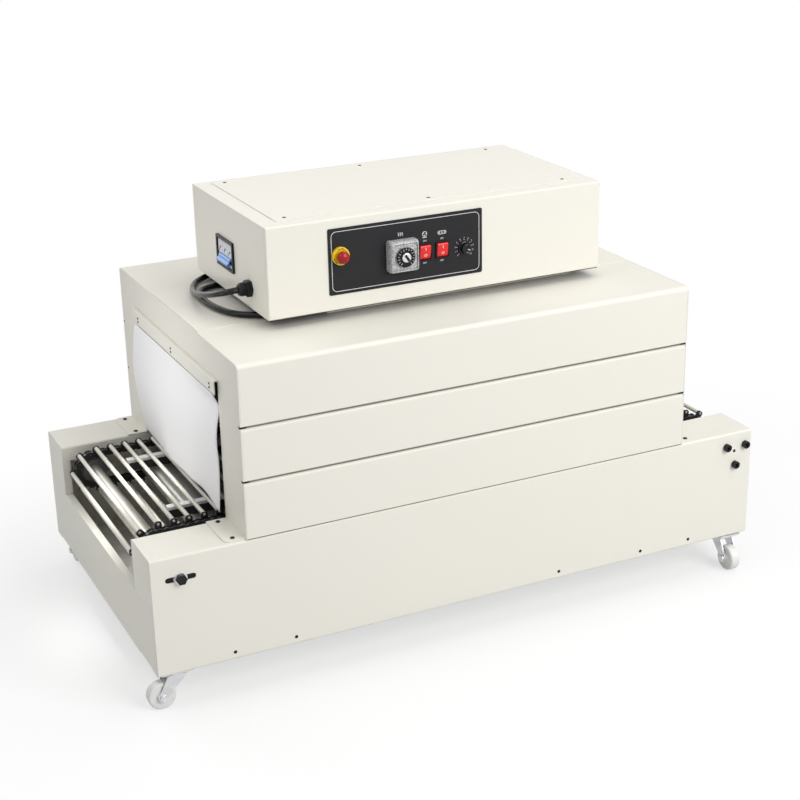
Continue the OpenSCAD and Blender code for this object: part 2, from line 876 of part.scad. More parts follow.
module breaker_body() {
    color(white) on_box_left(breaker_y, breaker_z) difference() {
        translate([-breaker_w / 2 + breaker_gap, -breaker_h / 2 + breaker_gap, -breaker_depth])
            cube([breaker_w - 2 * breaker_gap, breaker_h - 2 * breaker_gap, breaker_depth + body_proud]);
        translate([0, -toggle_drop, 0]) rotate([0, 90, 0])
            cylinder(r = toggle_r + seat_gap, h = toggle_w + 2 * seat_gap, center = true);
    }
}

module breaker_toggle() {
    color("#2f7fd0") on_box_left(breaker_y, breaker_z) translate([0, -toggle_drop, 0]) {
        rotate([90, 0, 90]) linear_extrude(toggle_w, center = true) union() {
            circle(r = toggle_r);
            rotate(-toggle_rest) translate([-toggle_t / 2, 0]) square([toggle_t, toggle_l]);
        }
    }
}

// Cable

module cable_gland() {
    color(black) on_box_left(gland_y, gland_z) {
        cylinder(d = gland_hex, h = gland_hex_h, $fn = 6);
        cylinder(d = gland_d, h = gland_l);
    }
}

module cable_grommet() {
    end = cable_route[len(cable_route) - 1];
    color(black) translate([stand_left, end[1], end[2]])
        rotate([0, -90, 0]) cylinder(d = grommet_d, h = grommet_t);
}

// Ring of points round the cable at point i of its route
function cable_ring(i) = let (
    last = len(cable_route) - 1,
    way = heading(cable_route[max(i - 1, 0)], cable_route[min(i + 1, last)]),
    side = cross(way, [0, 0, 1]) / norm(cross(way, [0, 0, 1])),
    up = cross(side, way)
) [for (j = [0:cable_sides - 1]) let (a = 360 * j / cable_sides)
    cable_route[i] + cable_d / 2 * (side * cos(a) + up * sin(a))];

module power_cable() {
    rings = len(cable_route);
    n = cable_sides;
    points = [for (i = [0:rings - 1]) each cable_ring(i)];
    walls = [for (i = [0:rings - 2], j = [0:n - 1]) let (next = (j + 1) % n)
        [i * n + j, i * n + next, (i + 1) * n + next, (i + 1) * n + j]];
    caps = [[for (j = [n - 1:-1:0]) j], [for (j = [0:n - 1]) (rings - 1) * n + j]];
    color(black) polyhedron(points, concat(walls, caps));
}

// Casters

module at_caster(corner) {
    translate([corner[0] * (base_l / 2 - caster_x), corner[1] * (base_w / 2 - caster_y), 0])
        rotate([0, 0, corner[2]]) children();
}

module caster_plates() {
    color(zinc) for (corner = corners) at_caster(corner) {
        translate([0, 0, base_z - plate_h / 2]) cube([plate_l, plate_w, plate_h], center = true);
        translate([0, 0, race_z]) cylinder(d = race_d, h = race_h + cut);
        translate([0, 0, web_z - seat_gap]) cylinder(d = king_d, h = race_z - web_z + seat_gap + cut);
        translate([0, 0, web_z - seat_gap - king_head_h]) cylinder(d = king_head_d, h = king_head_h);
    }
}

module caster_fork(corner) {
    leg = [[-race_d / 2, web_z], [race_d / 2, web_z],
        [caster_trail + axle_boss, wheel_d / 2], [caster_trail - axle_boss, wheel_d / 2]];
    fork_w = 2 * leg_y + 2 * leg_t;
    color(zinc) at_caster(corner) {
        difference() {
            union() {
                translate([0, 0, web_z + web_t / 2]) cube([race_d, fork_w, web_t], center = true);
                for (s = [-1, 1]) translate([0, s * (leg_y + leg_t / 2), 0]) across_y(leg_t) union() {
                    polygon(leg);
                    translate([caster_trail, wheel_d / 2]) circle(r = axle_boss);
                    translate([-race_d / 2, web_z]) square([race_d, web_t]);
                }
            }
            translate([0, 0, web_z - cut]) cylinder(d = king_d + 2 * fit_gap, h = web_t + 2 * cut);
        }
        translate([caster_trail, 0, wheel_d / 2]) rotate([90, 0, 0])
            cylinder(d = axle_d, h = fork_w + 2 * axle_end, center = true);
    }
}

module caster_wheel(corner) {
    tread = [[wheel_hub_d / 2, -wheel_w / 2, 0], [wheel_d / 2, -wheel_w / 2, tread_r],
        [wheel_d / 2, wheel_w / 2, tread_r], [wheel_hub_d / 2, wheel_w / 2, 0]];
    axle = [caster_trail, 0, wheel_d / 2];
    color(white) at_caster(corner) translate(axle) rotate([90, 0, 0]) difference() {
        union() {
            rotate_extrude() polygon(bent_path(tread));
            cylinder(d = wheel_hub_d + 1, h = wheel_hub_w, center = true);
        }
        cylinder(d = axle_d + 2 * fit_gap, h = 2 * wheel_hub_w, center = true);
    }
}

base_front_panel();
base_back_panel();
base_end_left();
base_end_right();
base_floor();
bed_pan();
rod_guides();
chain_front();
chain_back();
conveyor_rods();
idler_shaft();
idler_sprockets();
tension_bolts();
drive_shaft();
drive_sprockets();
drive_brackets();
drive_bolts();
hood_front_cover();
hood_back_cover();
hood_roof();
hood_liner();
hood_end_left();
hood_end_right();
curtain_strip_left();
curtain_strip_right();
curtain_left();
curtain_right();
control_box();
control_box_lid();
control_box_stand();
control_panel();
stop_collar();
stop_button();
controller_housing();
controller_dial();
rocker_bezels();
rocker_left();
rocker_right();
speed_knob();
breaker_frame();
breaker_body();
breaker_toggle();
cable_gland();
cable_grommet();
power_cable();
caster_plates();
caster_fork(front_left);  // caster_fork_front_left
caster_fork(front_right);  // caster_fork_front_right
caster_fork(back_left);  // caster_fork_back_left
caster_fork(back_right);  // caster_fork_back_right
caster_wheel(front_left);  // caster_wheel_front_left
caster_wheel(front_right);  // caster_wheel_front_right
caster_wheel(back_left);  // caster_wheel_back_left
caster_wheel(back_right);  // caster_wheel_back_right
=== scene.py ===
"""Finishes, curtains, cable and small pieces of a heat shrink tunnel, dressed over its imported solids.

All lengths are in metres, in the machine's own frame: X along the conveyor from inlet to outlet,
-Y towards the operator, Z up from the floor. Surfaces are worked out as whole arrays of points.
"""
import json
import math

import bpy
import numpy as np
from mathutils import Matrix, Vector


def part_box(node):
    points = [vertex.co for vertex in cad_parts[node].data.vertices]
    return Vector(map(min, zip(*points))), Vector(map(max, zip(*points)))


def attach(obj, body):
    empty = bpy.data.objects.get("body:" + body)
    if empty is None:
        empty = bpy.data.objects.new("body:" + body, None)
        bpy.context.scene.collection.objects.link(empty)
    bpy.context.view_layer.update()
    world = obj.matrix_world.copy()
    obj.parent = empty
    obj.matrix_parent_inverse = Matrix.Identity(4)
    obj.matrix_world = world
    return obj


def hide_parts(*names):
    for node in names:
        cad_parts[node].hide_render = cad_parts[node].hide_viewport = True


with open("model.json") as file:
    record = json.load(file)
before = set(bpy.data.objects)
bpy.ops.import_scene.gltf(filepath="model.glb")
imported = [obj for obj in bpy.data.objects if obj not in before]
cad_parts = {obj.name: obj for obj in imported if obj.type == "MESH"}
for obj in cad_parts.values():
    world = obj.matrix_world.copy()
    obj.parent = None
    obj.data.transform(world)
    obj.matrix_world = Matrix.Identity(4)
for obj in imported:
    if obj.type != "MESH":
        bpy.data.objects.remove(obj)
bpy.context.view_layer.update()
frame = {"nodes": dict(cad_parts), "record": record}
MM = 0.001
TURN = 2 * math.pi


# Shader maths


class Value:
    """A socket in a tree of nodes. Arithmetic on it adds Math nodes to that tree."""

    def __init__(self, owner, socket):
        self.owner = owner
        self.socket = socket

    def maths(self, operation, first, second):
        return self.owner.add("ShaderNodeMath", {"operation": operation}, {0: first, 1: second})

    def __add__(self, other):
        return self.maths("ADD", self, other)

    def __sub__(self, other):
        return self.maths("SUBTRACT", self, other)

    def __rsub__(self, other):
        return self.maths("SUBTRACT", other, self)

    def __mul__(self, other):
        return self.maths("MULTIPLY", self, other)

    __radd__ = __add__
    __rmul__ = __mul__

    def clamp(self, low, high):
        return self.maths("MINIMUM", self.maths("MAXIMUM", self, low), high)

    def step(self, low, high):
        """A smooth rise from 0 at low to 1 at high."""
        sockets = {"Value": self, "From Min": low, "From Max": high}
        return self.owner.add("ShaderNodeMapRange", {"interpolation_type": "SMOOTHSTEP"}, sockets)


SEEN_RAYS = ("Is Camera Ray", "Is Glossy Ray", "Is Transmission Ray")


class NodeTree:
    """The nodes of a material or of the world."""

    def __init__(self, tree):
        self.tree = tree

    def add(self, kind, settings=None, sockets=None, output=0):
        """Adds a node: its settings first, then the values or links of its sockets."""
        node = self.tree.nodes.new(kind)
        for name, value in (settings or {}).items():
            setattr(node, name, value)
        for name, value in (sockets or {}).items():
            self.feed(node.inputs[name], value)
        return Value(self, node.outputs[output])

    def feed(self, socket, value):
        if isinstance(value, Value):
            self.tree.links.new(value.socket, socket)
        else:
            socket.default_value = value

    def seen(self):
        """1 for rays that show what they reach, straight or in a reflection, and 0 for the rest."""
        return sum(self.add("ShaderNodeLightPath", output=kind) for kind in SEEN_RAYS).clamp(0, 1)


class Finish(NodeTree):
    """One material: a Principled shader and the nodes that vary its colour, roughness and normal."""

    def __init__(self, name, colour, roughness, metallic=0.0, specular=0.5):
        self.material = bpy.data.materials.new(name)
        self.material.use_nodes = True
        super().__init__(self.material.node_tree)
        self.shader = self.tree.nodes["Principled BSDF"]
        self.colour = (*colour, 1.0)
        self.material.diffuse_color = self.colour
        self.vary(Base_Color=self.colour, Roughness=roughness, Metallic=metallic,
                  Specular_IOR_Level=specular)

    def vary(self, **sockets):
        """Gives values or links to the shader's own sockets, such as Base_Color or Normal."""
        for name, value in sockets.items():
            self.feed(self.shader.inputs[name.replace("_", " ")], value)

    def place(self, stretch=(1, 1, 1)):
        """Object coordinates, stretched along each axis."""
        coordinates = self.add("ShaderNodeTexCoord", output="Object")
        sockets = {"Vector": coordinates, "Scale": stretch}
        return self.add("ShaderNodeMapping", {"vector_type": "POINT"}, sockets)

    def noise(self, scale, detail=2.0, stretch=(1, 1, 1), roughness=0.5):
        sockets = {"Vector": self.place(stretch), "Scale": scale, "Detail": detail,
                   "Roughness": roughness}
        return self.add("ShaderNodeTexNoise", None, sockets)

    def mix(self, factor, first, second):
        """Colour mix from first to second."""
        sockets = {0: factor, 6: first, 7: second}
        return self.add("ShaderNodeMix", {"data_type": "RGBA"}, sockets, output=2)

    def shade(self, factor, darker):
        """The finish's own colour, multiplied towards darker by factor."""
        low = (*[c * darker for c in self.colour[:3]], 1.0)
        return self.mix(factor, self.colour, low)

    def bump(self, height, strength, distance, normal=None):
        sockets = {"Height": height, "Strength": strength, "Distance": distance}
        if normal is not None:
            sockets["Normal"] = normal
        return self.add("ShaderNodeBump", None, sockets)

    def rounded_edges(self, radius):
        return self.add("ShaderNodeBevel", {"samples": 6}, {"Radius": radius})


def cream_paint():
    """Satin powder coat: faint orange peel, a little uneven tone, folds that catch the light."""
    paint = Finish("cream_paint", (0.800, 0.780, 0.705), 0.44, specular=0.40)
    cloud = paint.noise(2.4, 3.0)
    film = paint.noise(22.0, 5.0, roughness=0.62)
    peel = paint.noise(850.0, 2.0)
    smears = paint.noise(7.0, 4.0, stretch=(1.0, 1.0, 0.25)).step(0.58, 0.80)
    dusty = (0.70, 0.68, 0.61, 1)
    paint.vary(Base_Color=paint.mix(smears * 0.10, paint.shade(cloud * 0.10, 0.82), dusty),
               Roughness=0.40 + film * 0.14 + smears * 0.06,
               Normal=paint.bump(peel, 0.10, 0.00012, paint.rounded_edges(1.6 * MM)))
    return paint.material


def rod_coat():
    """Cream sleeves, rubbed glossy along their length and dulled by oil in patches."""
    coat = Finish("rod_coat", (0.640, 0.615, 0.540), 0.34)
    rub = coat.noise(60.0, 3.0, stretch=(1, 0.12, 1))
    oil = coat.noise(30.0, 4.0, stretch=(1, 0.5, 1)).step(0.60, 0.78)
    oily = (0.22, 0.20, 0.16, 1)
    coat.vary(Base_Color=coat.mix(oil * 0.30, coat.shade(rub * 0.16, 0.70), oily),
              Roughness=0.24 + rub * 0.22,
              Normal=coat.bump(rub, 0.08, 0.0002))
    return coat.material


def galvanised(name="galvanised", colour=(0.50, 0.49, 0.46), roughness=0.36, metallic=0.85):
    """Zinc coated sheet: flat spangles of slightly different grey, with a cloudy sheen."""
    zinc = Finish(name, colour, roughness, metallic)
    sockets = {"Vector": zinc.place(), "Scale": 75.0}
    cells = zinc.add("ShaderNodeTexVoronoi", None, sockets, output="Color")
    spangle = zinc.add("ShaderNodeSeparateColor", None, {0: cells})
    cloud = zinc.noise(9.0, 4.0)
    zinc.vary(Base_Color=zinc.shade(spangle * 0.45 + cloud * 0.25, 0.62),
              Roughness=roughness - 0.10 + spangle * 0.10 + cloud * 0.16,
              Normal=zinc.bump(cloud, 0.12, 0.0004, zinc.rounded_edges(0.6 * MM)))
    return zinc.material


def bright_steel():
    """Ground steel tube with fine lines round it and a few dull rubs."""
    steel = Finish("bright_steel", (0.56, 0.535, 0.490), 0.34, metallic=0.9)
    lines = steel.noise(40.0, 2.0, stretch=(0.2, 60.0, 0.2))
    rubs = steel.noise(25.0, 5.0)
    steel.vary(Base_Color=steel.shade(rubs * 0.6, 0.55),
               Roughness=0.26 + lines * 0.12 + rubs * 0.18,
               Normal=steel.bump(lines, 0.06, 0.0001))
    return steel.material


def black_steel(name="black_steel", tone=0.020):
    """Blackened, oiled steel, worn grey in small spots."""
    steel = Finish(name, (tone, tone, 1.05 * tone), 0.34, metallic=0.45)
    grain = steel.noise(500.0, 3.0)
    worn = steel.noise(120.0, 4.0).step(0.62, 0.76)
    bare = (0.16, 0.155, 0.145, 1)
    steel.vary(Base_Color=steel.mix(worn * 0.55, steel.colour, bare),
               Roughness=0.26 + grain * 0.24,
               Normal=steel.bump(grain, 0.12, 0.0002, steel.rounded_edges(0.5 * MM)))
    return steel.material


def plastic(name, colour, roughness=0.28, specular=0.5):
    """Moulded plastic: fine moulding grain, slightly clouded gloss and softened edges."""
    resin = Finish(name, colour, roughness, specular=specular)
    sparks = resin.noise(900.0, 2.0)
    cloud = resin.noise(45.0, 4.0)
    resin.vary(Base_Color=resin.shade(cloud * 0.20, 0.80),
               Roughness=roughness - 0.06 + cloud * 0.14,
               Normal=resin.bump(sparks, 0.20, 0.00006, resin.rounded_edges(0.5 * MM)))
    return resin.material


def silver_plastic():
    """Pebbled light grey housing with a pearly sheen."""
    resin = Finish("silver_plastic", (0.64, 0.64, 0.65), 0.40, metallic=0.15)
    pebble = resin.add("ShaderNodeTexVoronoi", None, {"Vector": resin.place(), "Scale": 420.0})
    cloud = resin.noise(60.0, 3.0)
    rims = pebble.step(0.25, 0.75)
    resin.vary(Base_Color=resin.shade(rims * 0.9 + cloud * 0.10, 0.42),
               Roughness=0.28 + cloud * 0.18,
               Normal=resin.bump(pebble, 0.6, 0.0005, resin.rounded_edges(0.8 * MM)))
    return resin.material


def panel_print():
    """Black printed panel with a fine speckled grain."""
    panel = Finish("panel_black", (0.012, 0.012, 0.014), 0.50, specular=0.22)
    speck = panel.noise(1400.0, 2.0)
    rub = panel.noise(18.0, 4.0)
    grain = (0.042, 0.042, 0.046, 1)
    panel.vary(Base_Color=panel.mix(speck.step(0.52, 0.75) * 0.5, panel.colour, grain),
               Roughness=0.42 + rub * 0.16,
               Normal=panel.bump(speck, 0.15, 0.0001, panel.rounded_edges(0.4 * MM)))
    return panel.material


def white_ink():
    """Screen printed white, a little thin in places."""
    ink = Finish("white_ink", (0.78, 0.78, 0.77), 0.50)
    thin = ink.noise(700.0, 2.0)
    ink.vary(Base_Color=ink.shade(thin * 0.5, 0.66))
    return ink.material


def curtain_cloth():
    """White coated cloth: a fine plain weave under a smooth skin, with faint creases."""
    cloth = Finish("curtain_cloth", (0.925, 0.925, 0.935), 0.52, specular=0.35)
    sockets = {"Vector": cloth.add("ShaderNodeTexCoord", output="UV"), "Scale": 230.0,
               "Distortion": 0.6, "Detail": 1.0}
    warp, weft = (cloth.add("ShaderNodeTexWave", {"bands_direction": way, "wave_profile": "SIN"}, sockets)
                  for way in "XY")
    grid = (cloth.add("ShaderNodeSeparateColor", None, {0: warp})
            * cloth.add("ShaderNodeSeparateColor", None, {0: weft}))
    cloud = cloth.noise(5.0, 3.0)
    crease = cloth.noise(16.0, 2.0, stretch=(1, 1, 0.3))
    cloth.vary(Base_Color=cloth.shade(cloud * 0.08 + grid * 0.05, 0.86),
               Roughness=0.44 + cloud * 0.16,
               Normal=cloth.bump(crease, 0.10, 0.004, cloth.bump(grid, 0.12, 0.0002)))
    return cloth.material


def guide_strip():
    """White sliding strip on a black bracket, told apart by height; the black is also painted shade under the
    rods.
    """
    strip = Finish("guide_strip", (0.80, 0.80, 0.78), 0.40)
    height = strip.add("ShaderNodeSeparateXYZ", None, {0: strip.place()}, output="Z")
    worn = strip.noise(40.0, 3.0, stretch=(0.2, 1, 1))
    # Painted shade: below the strip all is black, a bracket that also stands for the deep shade under the
    # rods.
    bracket_and_shade = (0.020, 0.020, 0.021, 1)
    is_strip = height.step(280.0 * MM, 280.4 * MM)
    strip.vary(Base_Color=strip.mix(is_strip, bracket_and_shade, strip.shade(worn * 0.3, 0.7)),
               Roughness=0.32 + worn * 0.16)
    return strip.material


def cable_rubber():
    """Black sheath with a satin bloom and slight ripples over the cores."""
    rubber = Finish("cable_rubber", (0.006, 0.006, 0.007), 0.22, specular=0.28)
    bloom = rubber.noise(55.0, 4.0)
    bloomed = (0.018, 0.018, 0.019, 1)
    rubber.vary(Base_Color=rubber.mix(bloom.step(0.45, 0.80) * 0.5, rubber.colour, bloomed),
                Roughness=0.16 + bloom * 0.20,
                Normal=rubber.bump(bloom, 0.20, 0.0006))
    return rubber.material


FINISHES = {
    "cream_paint": cream_paint(),
    "rod_coat": rod_coat(),
    "galvanised": galvanised(),
    "bright_zinc": galvanised("bright_zinc", (0.80, 0.81, 0.83), 0.34, 0.7),
    "bright_steel": bright_steel(),
    "black_steel": black_steel(),
    "sprocket_steel": black_steel("sprocket_steel", 0.10),
    # Base floor zinc, made near white: painted light, standing in for the light that barely reaches inside
    # the base.
    "dull_zinc_painted_light": galvanised("dull_zinc_painted_light", (0.93, 0.91, 0.85), 0.50, 0.0),
    "guide_strip": guide_strip(),
    "seam_shade": plastic("seam_shade", (0.20, 0.19, 0.165), 0.60),
    "curtain_cloth": curtain_cloth(),
    "panel_black": panel_print(),
    "white_ink": white_ink(),
    "silver_plastic": silver_plastic(),
    "yellow_plastic": plastic("yellow_plastic", (0.83, 0.55, 0.012), 0.26),
    "red_plastic": plastic("red_plastic", (0.34, 0.002, 0.004), 0.13, 0.35),
    "red_switch": plastic("red_switch", (0.74, 0.012, 0.010), 0.26),
    "black_plastic": plastic("black_plastic", (0.008, 0.008, 0.009), 0.36, 0.22),
    "black_gloss": plastic("black_gloss", (0.006, 0.006, 0.007), 0.15, 0.30),
    "white_plastic": plastic("white_plastic", (0.78, 0.78, 0.76), 0.34),
    "blue_plastic": plastic("blue_plastic", (0.115, 0.300, 0.690), 0.30),
    # Dark ink for print, and also painted shade in screw recesses, holes, slots, groove notches and under the
    # control box.
    "dark_ink": plastic("dark_ink", (0.012, 0.012, 0.013), 0.55, 0.2),
    "grey_ink": plastic("grey_ink", (0.25, 0.25, 0.26), 0.50),
    "blue_ink": plastic("blue_ink", (0.030, 0.110, 0.420), 0.40),
    "silver_cap": galvanised("silver_cap", (0.78, 0.78, 0.79), 0.24),
    "cable_rubber": cable_rubber(),
}
NODE_FINISH = {s["node"]: s["material_slot"] for s in frame["record"]["subparts"]}
SPECIAL_FINISH = {
    "base_floor": "dull_zinc_painted_light",
    "caster_plates": "bright_zinc",
    "controller_housing": "silver_plastic",
    "drive_bolts": "black_gloss",
    "drive_sprockets": "sprocket_steel",
    "idler_sprockets": "sprocket_steel",
    "rocker_left": "red_switch",
    "rocker_right": "red_switch",
    "rod_guides": "guide_strip",
    "tension_bolts": "black_gloss",
}
for name, solid in frame["nodes"].items():
    finish = SPECIAL_FINISH.get(name, NODE_FINISH[name])
    if name.startswith("caster_fork"):
        finish = "bright_zinc"
    solid.data.materials.clear()
    solid.data.materials.append(FINISHES[finish])


# Surfaces as arrays


def add_piece(name, points, faces, finish, body, slot, smooth=True, uv=None, sharp=30):
    """A mesh object at the origin from whole arrays of points and faces."""
    mesh = bpy.data.meshes.new(name)
    mesh.from_pydata(np.asarray(points, float).reshape(-1, 3), [], [tuple(f) for f in faces])
    mesh.polygons.foreach_set("use_smooth", np.full(len(mesh.polygons), smooth))
    if uv is not None:
        layer = mesh.uv_layers.new(name="UVMap")
        loops = np.zeros(len(mesh.loops), np.int32)
        mesh.loops.foreach_get("vertex_index", loops)
        layer.data.foreach_set("uv", np.asarray(uv, np.float32).reshape(-1, 2)[loops].ravel())
    mesh.materials.append(FINISHES[finish])
    mesh.update()
    if smooth:
        mesh.set_sharp_from_angle(angle=math.radians(sharp))
    piece = bpy.data.objects.new(name, mesh)
    bpy.context.scene.collection.objects.link(piece)
    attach(piece, body)
    return piece


def add_flat(name, shape, finish, slot, body="machine"):
    """A piece without smooth shading, such as print or painted shade in a gap."""
    add_piece(name, *shape, finish, body, slot, smooth=False)


def grid_faces(rows, columns, wrap=False):
    """Quads between neighbouring points of a grid, with its columns closed round if wrap is set."""
    r, c = np.meshgrid(np.arange(rows - 1), np.arange(columns if wrap else columns - 1), indexing="ij")
    near, far, right = r * columns, (r + 1) * columns, (c + 1) % columns
    return np.stack([near + c, near + right, far + right, far + c], -1).reshape(-1, 4)


def capped_faces(rows, columns):
    """Faces of a stack of rings, closed round and capped at both ends."""
    ring = np.arange(columns)
    return [*grid_faces(rows, columns, wrap=True), ring[::-1], ring + (rows - 1) * columns]


class Spot:
    """A place on the machine: a point, and the directions right, up and out of the surface there."""

    def __init__(self, origin, right, up):
        self.origin = np.array(origin, float)
        self.axes = np.array([right, up, np.cross(right, up)], float)

    def at(self, points):
        return np.asarray(points, float) @ self.axes + self.origin

    def moved(self, right, up, out=0.0):
        return Spot(self.at([right, up, out]), self.axes[0], self.axes[1])

    def turned(self, angle):
        """The same place with its right and up turned about the out direction."""
        c, s = math.cos(angle), math.sin(angle)
        right, up, _ = self.axes
        return Spot(self.origin, c * right + s * up, c * up - s * right)


def panel_spot(x, z):
    """A place on the front of the control box, looking out towards the operator."""
    return Spot((x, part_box("control_box")[0].y, z), (1, 0, 0), (0, 0, 1))


def left_spot(y, z):
    """A place on the left end of the control box, looking out towards the inlet."""
    return Spot((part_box("control_box")[0].x, y, z), (0, -1, 0), (0, 0, 1))


def lathe(profile, sides=64):
    """Points and faces of a profile of (radius, height) turned about the out direction.

    Each profile point becomes a ring: (radius cos a, radius sin a, height) for angles a round a turn."""
    profile = np.asarray(profile, float)
    a = np.linspace(0, TURN, sides, endpoint=False)
    rings = np.stack([np.outer(profile[:, 0], np.cos(a)), np.outer(profile[:, 0], np.sin(a)),
                      np.repeat(profile[:, 1:2], sides, 1)], -1)
    return rings.reshape(-1, 3), capped_faces(len(profile), sides)


def rounded_profile(corners, steps=6):
    """Profile with each corner (radius, height, fillet) turned on an arc of its fillet."""
    corners = np.asarray(corners, float)
    out = [corners[0, :2]]
    for before, here, after in zip(corners[:-2], corners[1:-1], corners[2:]):
        if here[2] == 0:
            out.append(here[:2])
            continue
        d0 = (before - here)[:2] / np.linalg.norm((before - here)[:2])
        d1 = (after - here)[:2] / np.linalg.norm((after - here)[:2])
        half = math.acos(np.clip(d0 @ d1, -1, 1)) / 2
        reach = here[2] / math.tan(half)
        middle = here[:2] + (d0 + d1) / np.linalg.norm(d0 + d1) * here[2] / math.sin(half)
        first, last = here[:2] + d0 * reach - middle, here[:2] + d1 * reach - middle
        t = np.linspace(0, 1, steps)[:, None]
        sweep = math.acos(np.clip(first @ last / here[2] ** 2, -1, 1))
        arc = np.sin((1 - t) * sweep) * first + np.sin(t * sweep) * last
        out.extend(middle + arc / math.sin(sweep))
    out.append(corners[-1, :2])
    return np.array(out)


def rounded_outline(width, height, radius, steps=6):
    """Points round a rectangle about the middle, with quarter circles at its corners."""
    a = np.linspace(0, math.pi / 2, steps)
    arc = radius * np.stack([np.cos(a), np.sin(a)], 1)
    quarters = []
    for k, (sx, sy) in enumerate(((1, 1), (-1, 1), (-1, -1), (1, -1))):
        c, s = (1, 0, -1, 0)[k], (0, 1, 0, -1)[k]
        turned = arc @ np.array([[c, s], [-s, c]])
        quarters.append(turned + [sx * (width / 2 - radius), sy * (height / 2 - radius)])
    return np.concatenate(quarters)


def stacked(outlines, heights):
    """Points and faces of closed outlines stacked at their heights and capped at both ends."""
    count = len(outlines[0])
    rings = [np.column_stack([o, np.full(count, h)]) for o, h in zip(outlines, heights)]
    return np.concatenate(rings), capped_faces(len(outlines), count)


def gathered(*shapes):
    """Several (points, faces) joined into one."""
    points, faces, start = [], [], 0
    for shape_points, shape_faces in shapes:
        points.append(shape_points)
        faces.extend([np.asarray(f) + start for f in shape_faces])
        start += len(shape_points)
    return np.concatenate(points), faces


def put(spot, shape):
    """A shape's points laid at a place."""
    return spot.at(shape[0]), shape[1]


# Camera, floor and light

CAMERA_AZIMUTH, CAMERA_ELEVATION, CAMERA_ROLL = (math.radians(d) for d in (-25.324, 20.987, -1.263))
CAMERA_DISTANCE, CAMERA_RIGHT, CAMERA_UP = 3.2974, 0.0018, 0.3293
CAMERA_LENS = 73.68
SENSOR = 36.0


def set_camera():
    """Camera behind the origin along its view, then slid right and up in its own plane."""
    back = np.array([math.sin(CAMERA_AZIMUTH) * math.cos(CAMERA_ELEVATION),
                     -math.cos(CAMERA_AZIMUTH) * math.cos(CAMERA_ELEVATION), math.sin(CAMERA_ELEVATION)])
    level = np.array([math.cos(CAMERA_AZIMUTH), math.sin(CAMERA_AZIMUTH), 0.0])
    lift = np.cross(back, level)
    right = math.cos(CAMERA_ROLL) * level + math.sin(CAMERA_ROLL) * lift
    up = np.cross(back, right)
    lens = bpy.data.cameras.new("camera")
    lens.sensor_width = SENSOR
    lens.lens = CAMERA_LENS
    camera = bpy.data.objects.new("camera", lens)
    bpy.context.scene.collection.objects.link(camera)
    matrix = np.eye(4)
    matrix[:3, :3] = np.column_stack([right, up, back])
    matrix[:3, 3] = back * CAMERA_DISTANCE + right * CAMERA_RIGHT + up * CAMERA_UP
    camera.matrix_world = Matrix(matrix.tolist())
    bpy.context.scene.camera = camera


def add_lamp(name, place, aim, size, power, spread=180):
    """A square soft box at a place, facing what it is aimed at, with a grid that narrows its spread."""
    lamp = bpy.data.lights.new(name, "AREA")
    lamp.size = size
    lamp.energy = power
    lamp.spread = math.radians(spread)
    holder = bpy.data.objects.new(name, lamp)
    bpy.context.scene.collection.objects.link(holder)
    holder.location = place
    holder.visible_camera = False
    holder.rotation_mode = "QUATERNION"
    holder.rotation_quaternion = (Vector(place) - Vector(aim)).to_track_quat("Z", "Y")


FLOOR_HALF = 30.0
SKY_LIGHT = 0.40


def white_floor():
    """Pale floor that fades into plain white away from the machine, and gives back less than it shows."""
    floor = Finish("floor_white", (0.93, 0.93, 0.93), 0.9, specular=0.0)
    oval = {0: floor.place((0.62, 1, 1))}
    away = floor.add("ShaderNodeVectorMath", {"operation": "LENGTH"}, oval, output="Value")
    seen = floor.seen()
    unseen_grey = (0.60, 0.60, 0.60, 1)
    floor.vary(Base_Color=floor.mix(seen, unseen_grey, floor.colour))
    white = floor.add("ShaderNodeEmission", None, {"Color": (1, 1, 1, 1), "Strength": 1.0})
    share = seen * (0.58 + 0.42 * away.step(0.40, 1.00))
    lit = Value(floor, floor.shader.outputs[0])
    blend = floor.add("ShaderNodeMixShader", None, {0: share, 1: lit, 2: white})
    floor.feed(floor.tree.nodes["Material Output"].inputs["Surface"], blend)
    return floor.material


def set_stage():
    """White floor, white surroundings and six soft boxes, the last three small ones at the inlet."""
    mesh = bpy.data.meshes.new("floor")
    corners = [(x * FLOOR_HALF, y * FLOOR_HALF, 0) for x, y in ((-1, -1), (1, -1), (1, 1), (-1, 1))]
    mesh.from_pydata(corners, [], [(0, 1, 2, 3)])
    mesh.materials.append(white_floor())
    floor = bpy.data.objects.new("floor", mesh)
    bpy.context.scene.collection.objects.link(floor)
    world = bpy.data.worlds.new("studio")
    bpy.context.scene.world = world
    world.use_nodes = True
    sky = NodeTree(world.node_tree)
    backdrop = sky.tree.nodes["Background"].inputs
    sky.feed(backdrop["Color"], (1, 1, 1, 1))
    sky.feed(backdrop["Strength"], 1 - (1 - SKY_LIGHT) * (1 - sky.seen()))
    add_lamp("overhead", (1.0, -0.3, 3.3), (0.1, 0, 0.4), 2.6, 30)
    add_lamp("front", (1.4, -3.4, 2.4), (0, 0, 0.5), 2.4, 112)
    add_lamp("back", (-1.5, 3.0, 2.2), (0, 0, 0.4), 2.4, 36)
    add_lamp("inlet", (-1.05, -0.3, 1.42), (-0.40, 0, 0.45), 0.5, 2)
    add_lamp("curtain", (-1.25, -0.1, 0.42), (-0.44, 0, 0.48), 0.35, 0.13, 32)
    add_lamp("bed", (-0.55, 0, 0.46), (-0.55, 0, 0.10), 0.16, 0.17, 50)


set_camera()
set_stage()
bpy.context.scene.view_settings.view_transform = "Standard"

# Cable

